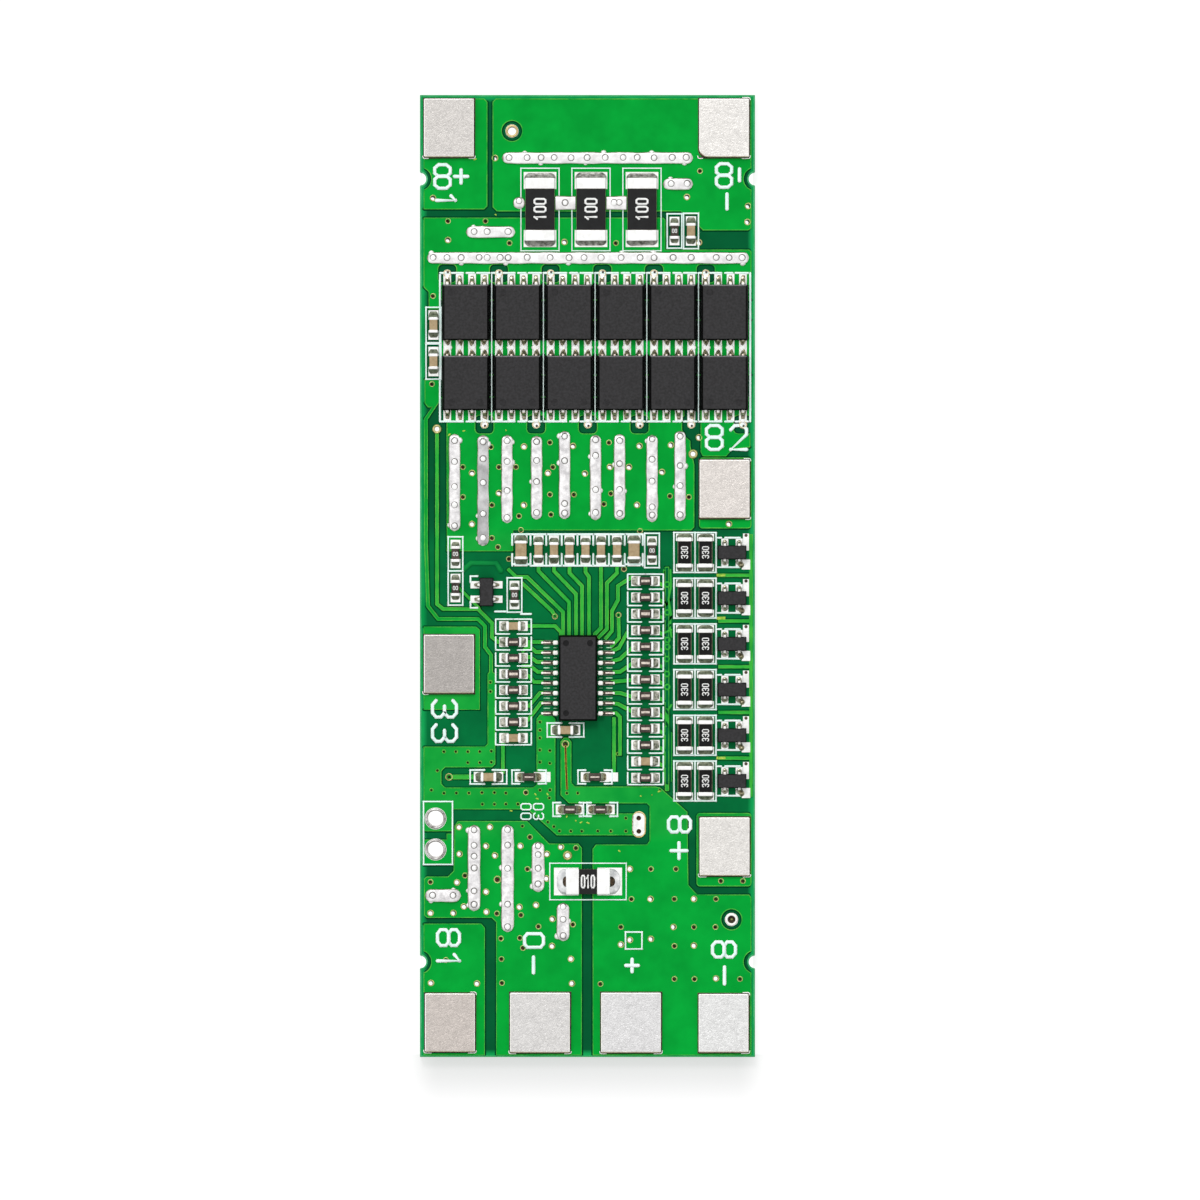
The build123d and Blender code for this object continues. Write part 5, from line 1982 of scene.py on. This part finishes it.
def leadTicks(z):
    # pale ticks between the controller's leads
    middle = middleOf("controller_chip")
    lines = []
    for i in range(controller["leads"] - 1):
        y = middle.y + (i + 1 - controller["leads"] / 2) * controller["pitch"]
        for side in (-1, 1):
            for start, end in ((2.15, 2.4), (2.85, 3.4)):
                lines.append(flatLine(z, *((middle.x + side * x * mm, y) for x in (start, end))))
    return lines


def stripShapes(z):
    # the strip of traces beside the channel resistors:
    # dark gaps and slits, then bright bands and loops over them
    gaps = [((247.3, 486), (247.3, 352)), ((247.6, 327), (247.6, 276))]
    slits = [
        ((242, 447), (251, 458)), ((244, 431), (252, 441)), ((243, 426), (250, 432)),
        ((243, 338), (252, 326)), ((243, 350), (250, 342)),
    ]
    bands = [
        ((244, 487), (243.5, 470), (245.5, 456), (243.5, 441), (246, 427), (244, 420)),
        ((250.5, 487), (251, 470), (248.5, 458), (251, 443), (250, 430), (251.5, 420)),
        ((243.5, 424), (251.5, 427)), ((251.5, 352), (246, 344), (247, 336)),
        ((244, 330), (244, 276)), ((251, 328), (251, 276)),
    ]
    loops = [
        (247.2, 472.5), (247.2, 444.5), (247.5, 417), (247.5, 410), (246.7, 398), (247, 383), (247.3, 370),
    ]
    strokes = [[stroke(z, *line) for line in group] for group in (gaps, slits, bands)]
    return strokes + [[at(*place, z) for place in loops]]


def bodyGaps(z):
    # the dark between the power transistors' bodies
    half = power["bodyLength"] / 2
    lines = []
    for row in (powerNodes[:6], powerNodes[6:]):
        for left, right in zip(row, row[1:]):
            x = (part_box(left)[1].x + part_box(right)[0].x) / 2
            middle = (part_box(left)[0].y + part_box(left)[1].y) / 2
            lines.append(flatLine(z, (x, middle - half), (x, middle + half)))
    return lines


def bits(z):
    # yellow-green scraps of bare copper at the edges of the mask
    spots = [
        (116, 262), (118, 258), (162, 235), (167, 234.5), (220.5, 261), (232, 262), (200, 205.5),
        (240, 266), (56, 898), (145, 245), (147, 241), (128, 262), (92, 246), (156, 236), (76, 842),
        (86, 626.5), (43, 626), (30, 623),
    ]
    rng = random.Random(8)
    lines = []
    for column, row in spots:
        lines.append(stroke(z, (column, row), (column + rng.uniform(-2, 2), row + rng.uniform(-1.5, 1.5))))
    for row in (481.8, 438.7, 299):
        lines += [stroke(z, (297, row + shift), (305, row + 0.3 + shift)) for shift in (-0.7, 0.7)]
    return lines


def pillOutline(z):
    # round the two holes that share one bare land
    column, low, high, radius = 219, 226, 239, 6.2
    points = []
    for middle, first in ((high, 0), (low, 180)):
        for k in range(9):
            angle = math.radians(first + k * 22.5)
            points.append(at(column + math.cos(angle) * radius, middle + math.sin(angle) * radius, z))
    return [(points, True)]


def maskMark(name, lines, width, material):
    piece = strokesPiece(name, lines, width, material)
    return piece


def makeMaskMarks():
    # small colour changes in and under the mask
    over = copperTop + 0.012 * mm
    gaps, slits, bands, loops = stripShapes(over)
    singed = ((145.5, 311), (146, 290), (147, 268))
    faint = ((43, 487), (51, 494), (76, 494), (81, 486))
    return [
        maskMark("stripGaps", gaps, 0.72 * mm, "maskOverLaminate"),
        maskMark("stripSlits", slits, 0.24 * mm, "maskShade"),
        maskMark("stripBands", bands, 0.2 * mm, "maskOverTrace"),
        ringPiece("stripLoops", loops),
        maskMark("deepShadows", bodyGaps(copperTop + 0.005 * mm), 0.46 * mm, "deepShadow"),
        maskMark("leadTicks", leadTicks(over), 0.12 * mm, "maskTick"),
        maskMark("maskBits", bits(over), 0.13 * mm, "maskBit"),
        maskMark("singedEdge", [stroke(over, *singed)], 0.22 * mm, "maskBit"),
        maskMark("singedLine", [stroke(over + 0.02 * mm, *singed)], 0.15 * mm, "singed"),
        maskMark("faintTrace", [stroke(over, *faint)], 0.5 * mm, "maskFaint"),
        maskMark("pillRim", pillOutline(landTop - 0.01 * mm), 0.13 * mm, "goldRim"),
    ]


pieces += makePrint()
pieces += makeChipNumbers()
pieces += makeMaskMarks()
print("print made")

for piece in pieces:
    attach(piece, "root")

stage = {
    "floorSize": 3.0, "paper": 0.26, "glow": 0.8, "underGlow": 1.05, "glowMargin": 0.2 * mm,
    "shade": 0.22, "shadeStart": 1.0 * mm, "shadeReach": 6.5 * mm, "shadeOut": 2.4 * mm, "shadeIn": 2.0 * mm,
    "sun": 0.95, "sunAngle": 16, "sunFrom": (-0.18, 0.78, 1.2),
    "zenith": 1.12, "horizon": 0.10, "skyLean": (-0.16, 0.22, 0.96), "skyFull": 0.9,
}
camera = {"height": 1.2, "lens": 360.0, "aside": 1.25 * mm, "down": -2.4 * mm}


def makePaper():
    # pale paper that glows: brighter under the board, a painted light so that the drilled holes show white,
    # with a painted shadow beyond the board's near end
    material, tree, shader, place = startMaterial("paleFloor")
    parts = addNode(tree, "ShaderNodeSeparateXYZ", {"Vector": place}).outputs
    aside, along = (calc(tree, "ABSOLUTE", parts[axis]) for axis in ("X", "Y"))
    margin, end = stage["glowMargin"], -boardHigh.y
    limits = ((aside, boardHigh.x - margin), (along, boardHigh.y - margin))
    inside = [calc(tree, "LESS_THAN", *pair) for pair in limits]
    glow = mapRange(tree, calc(tree, "MULTIPLY", *inside), 0.0, 1.0, stage["glow"], stage["underGlow"])
    near = mapRange(tree, parts["Y"], end - stage["shadeReach"], end - stage["shadeStart"], smooth=True)
    edge = boardHigh.x - stage["shadeIn"], boardHigh.x + stage["shadeOut"]
    across = mapRange(tree, aside, *edge, 1.0, 0.0, smooth=True)
    beyond = calc(tree, "LESS_THAN", parts["Y"], margin + end)
    loss = calc(tree, "MULTIPLY", near, stage["shade"])
    for part in (across, beyond):
        loss = calc(tree, "MULTIPLY", loss, part)
    tree.links.new(calc(tree, "SUBTRACT", glow, loss), shader.inputs["Emission Strength"])
    shader.inputs["Emission Color"].default_value = (1, 1, 1, 1)
    shader.inputs["Base Color"].default_value = (stage["paper"], stage["paper"], stage["paper"], 1)
    shader.inputs["Roughness"].default_value = 0.9
    shader.inputs["Specular IOR Level"].default_value = 0.0
    return material


def makeFloor():
    half = stage["floorSize"] / 2
    mesh = bpy.data.meshes.new("floor")
    corners = [(-half, -half, 0), (half, -half, 0), (half, half, 0), (-half, half, 0)]
    mesh.from_pydata(corners, [], [(0, 1, 2, 3)])
    mesh.materials.append(makePaper())
    floor = makePiece("floor", mesh)
    floor.location.z = -0.05 * mm


def makeSky():
    # bright overhead and dark low down, darker still towards the near right
    world = bpy.data.worlds.new("studio")
    world.use_nodes = True
    tree = world.node_tree
    way = addNode(tree, "ShaderNodeTexCoord").outputs["Generated"]
    lean = addNode(tree, "ShaderNodeVectorMath", {0: way, 1: stage["skyLean"]}, operation="DOT_PRODUCT")
    level = mapRange(
        tree, lean.outputs["Value"], 0.0, stage["skyFull"], stage["horizon"], stage["zenith"], smooth=True,
    )
    background = tree.nodes["Background"]
    tree.links.new(level, background.inputs["Strength"])
    background.inputs["Color"].default_value = (1, 1, 1, 1)
    bpy.context.scene.world = world


def makeSun():
    lamp = bpy.data.lights.new("key", "SUN")
    lamp.energy = stage["sun"]
    lamp.angle = math.radians(stage["sunAngle"])
    holder = bpy.data.objects.new("key", lamp)
    holder.rotation_euler = Vector(stage["sunFrom"]).to_track_quat("Z", "Y").to_euler()
    bpy.context.collection.objects.link(holder)


def makeCamera():
    lens = bpy.data.cameras.new("camera")
    lens.lens = camera["lens"]
    lens.sensor_width = 36
    eye = bpy.data.objects.new("camera", lens)
    eye.location = (camera["aside"], camera["down"], camera["height"] + boardHigh.z)
    bpy.context.collection.objects.link(eye)
    bpy.context.scene.camera = eye


makeFloor()
makeSky()
makeSun()
makeCamera()
bpy.context.scene.view_settings.view_transform = "Standard"

bpy.context.view_layer.update()
print("pieces:", len(pieces), "faces:", sum(len(p.data.polygons) for p in pieces))
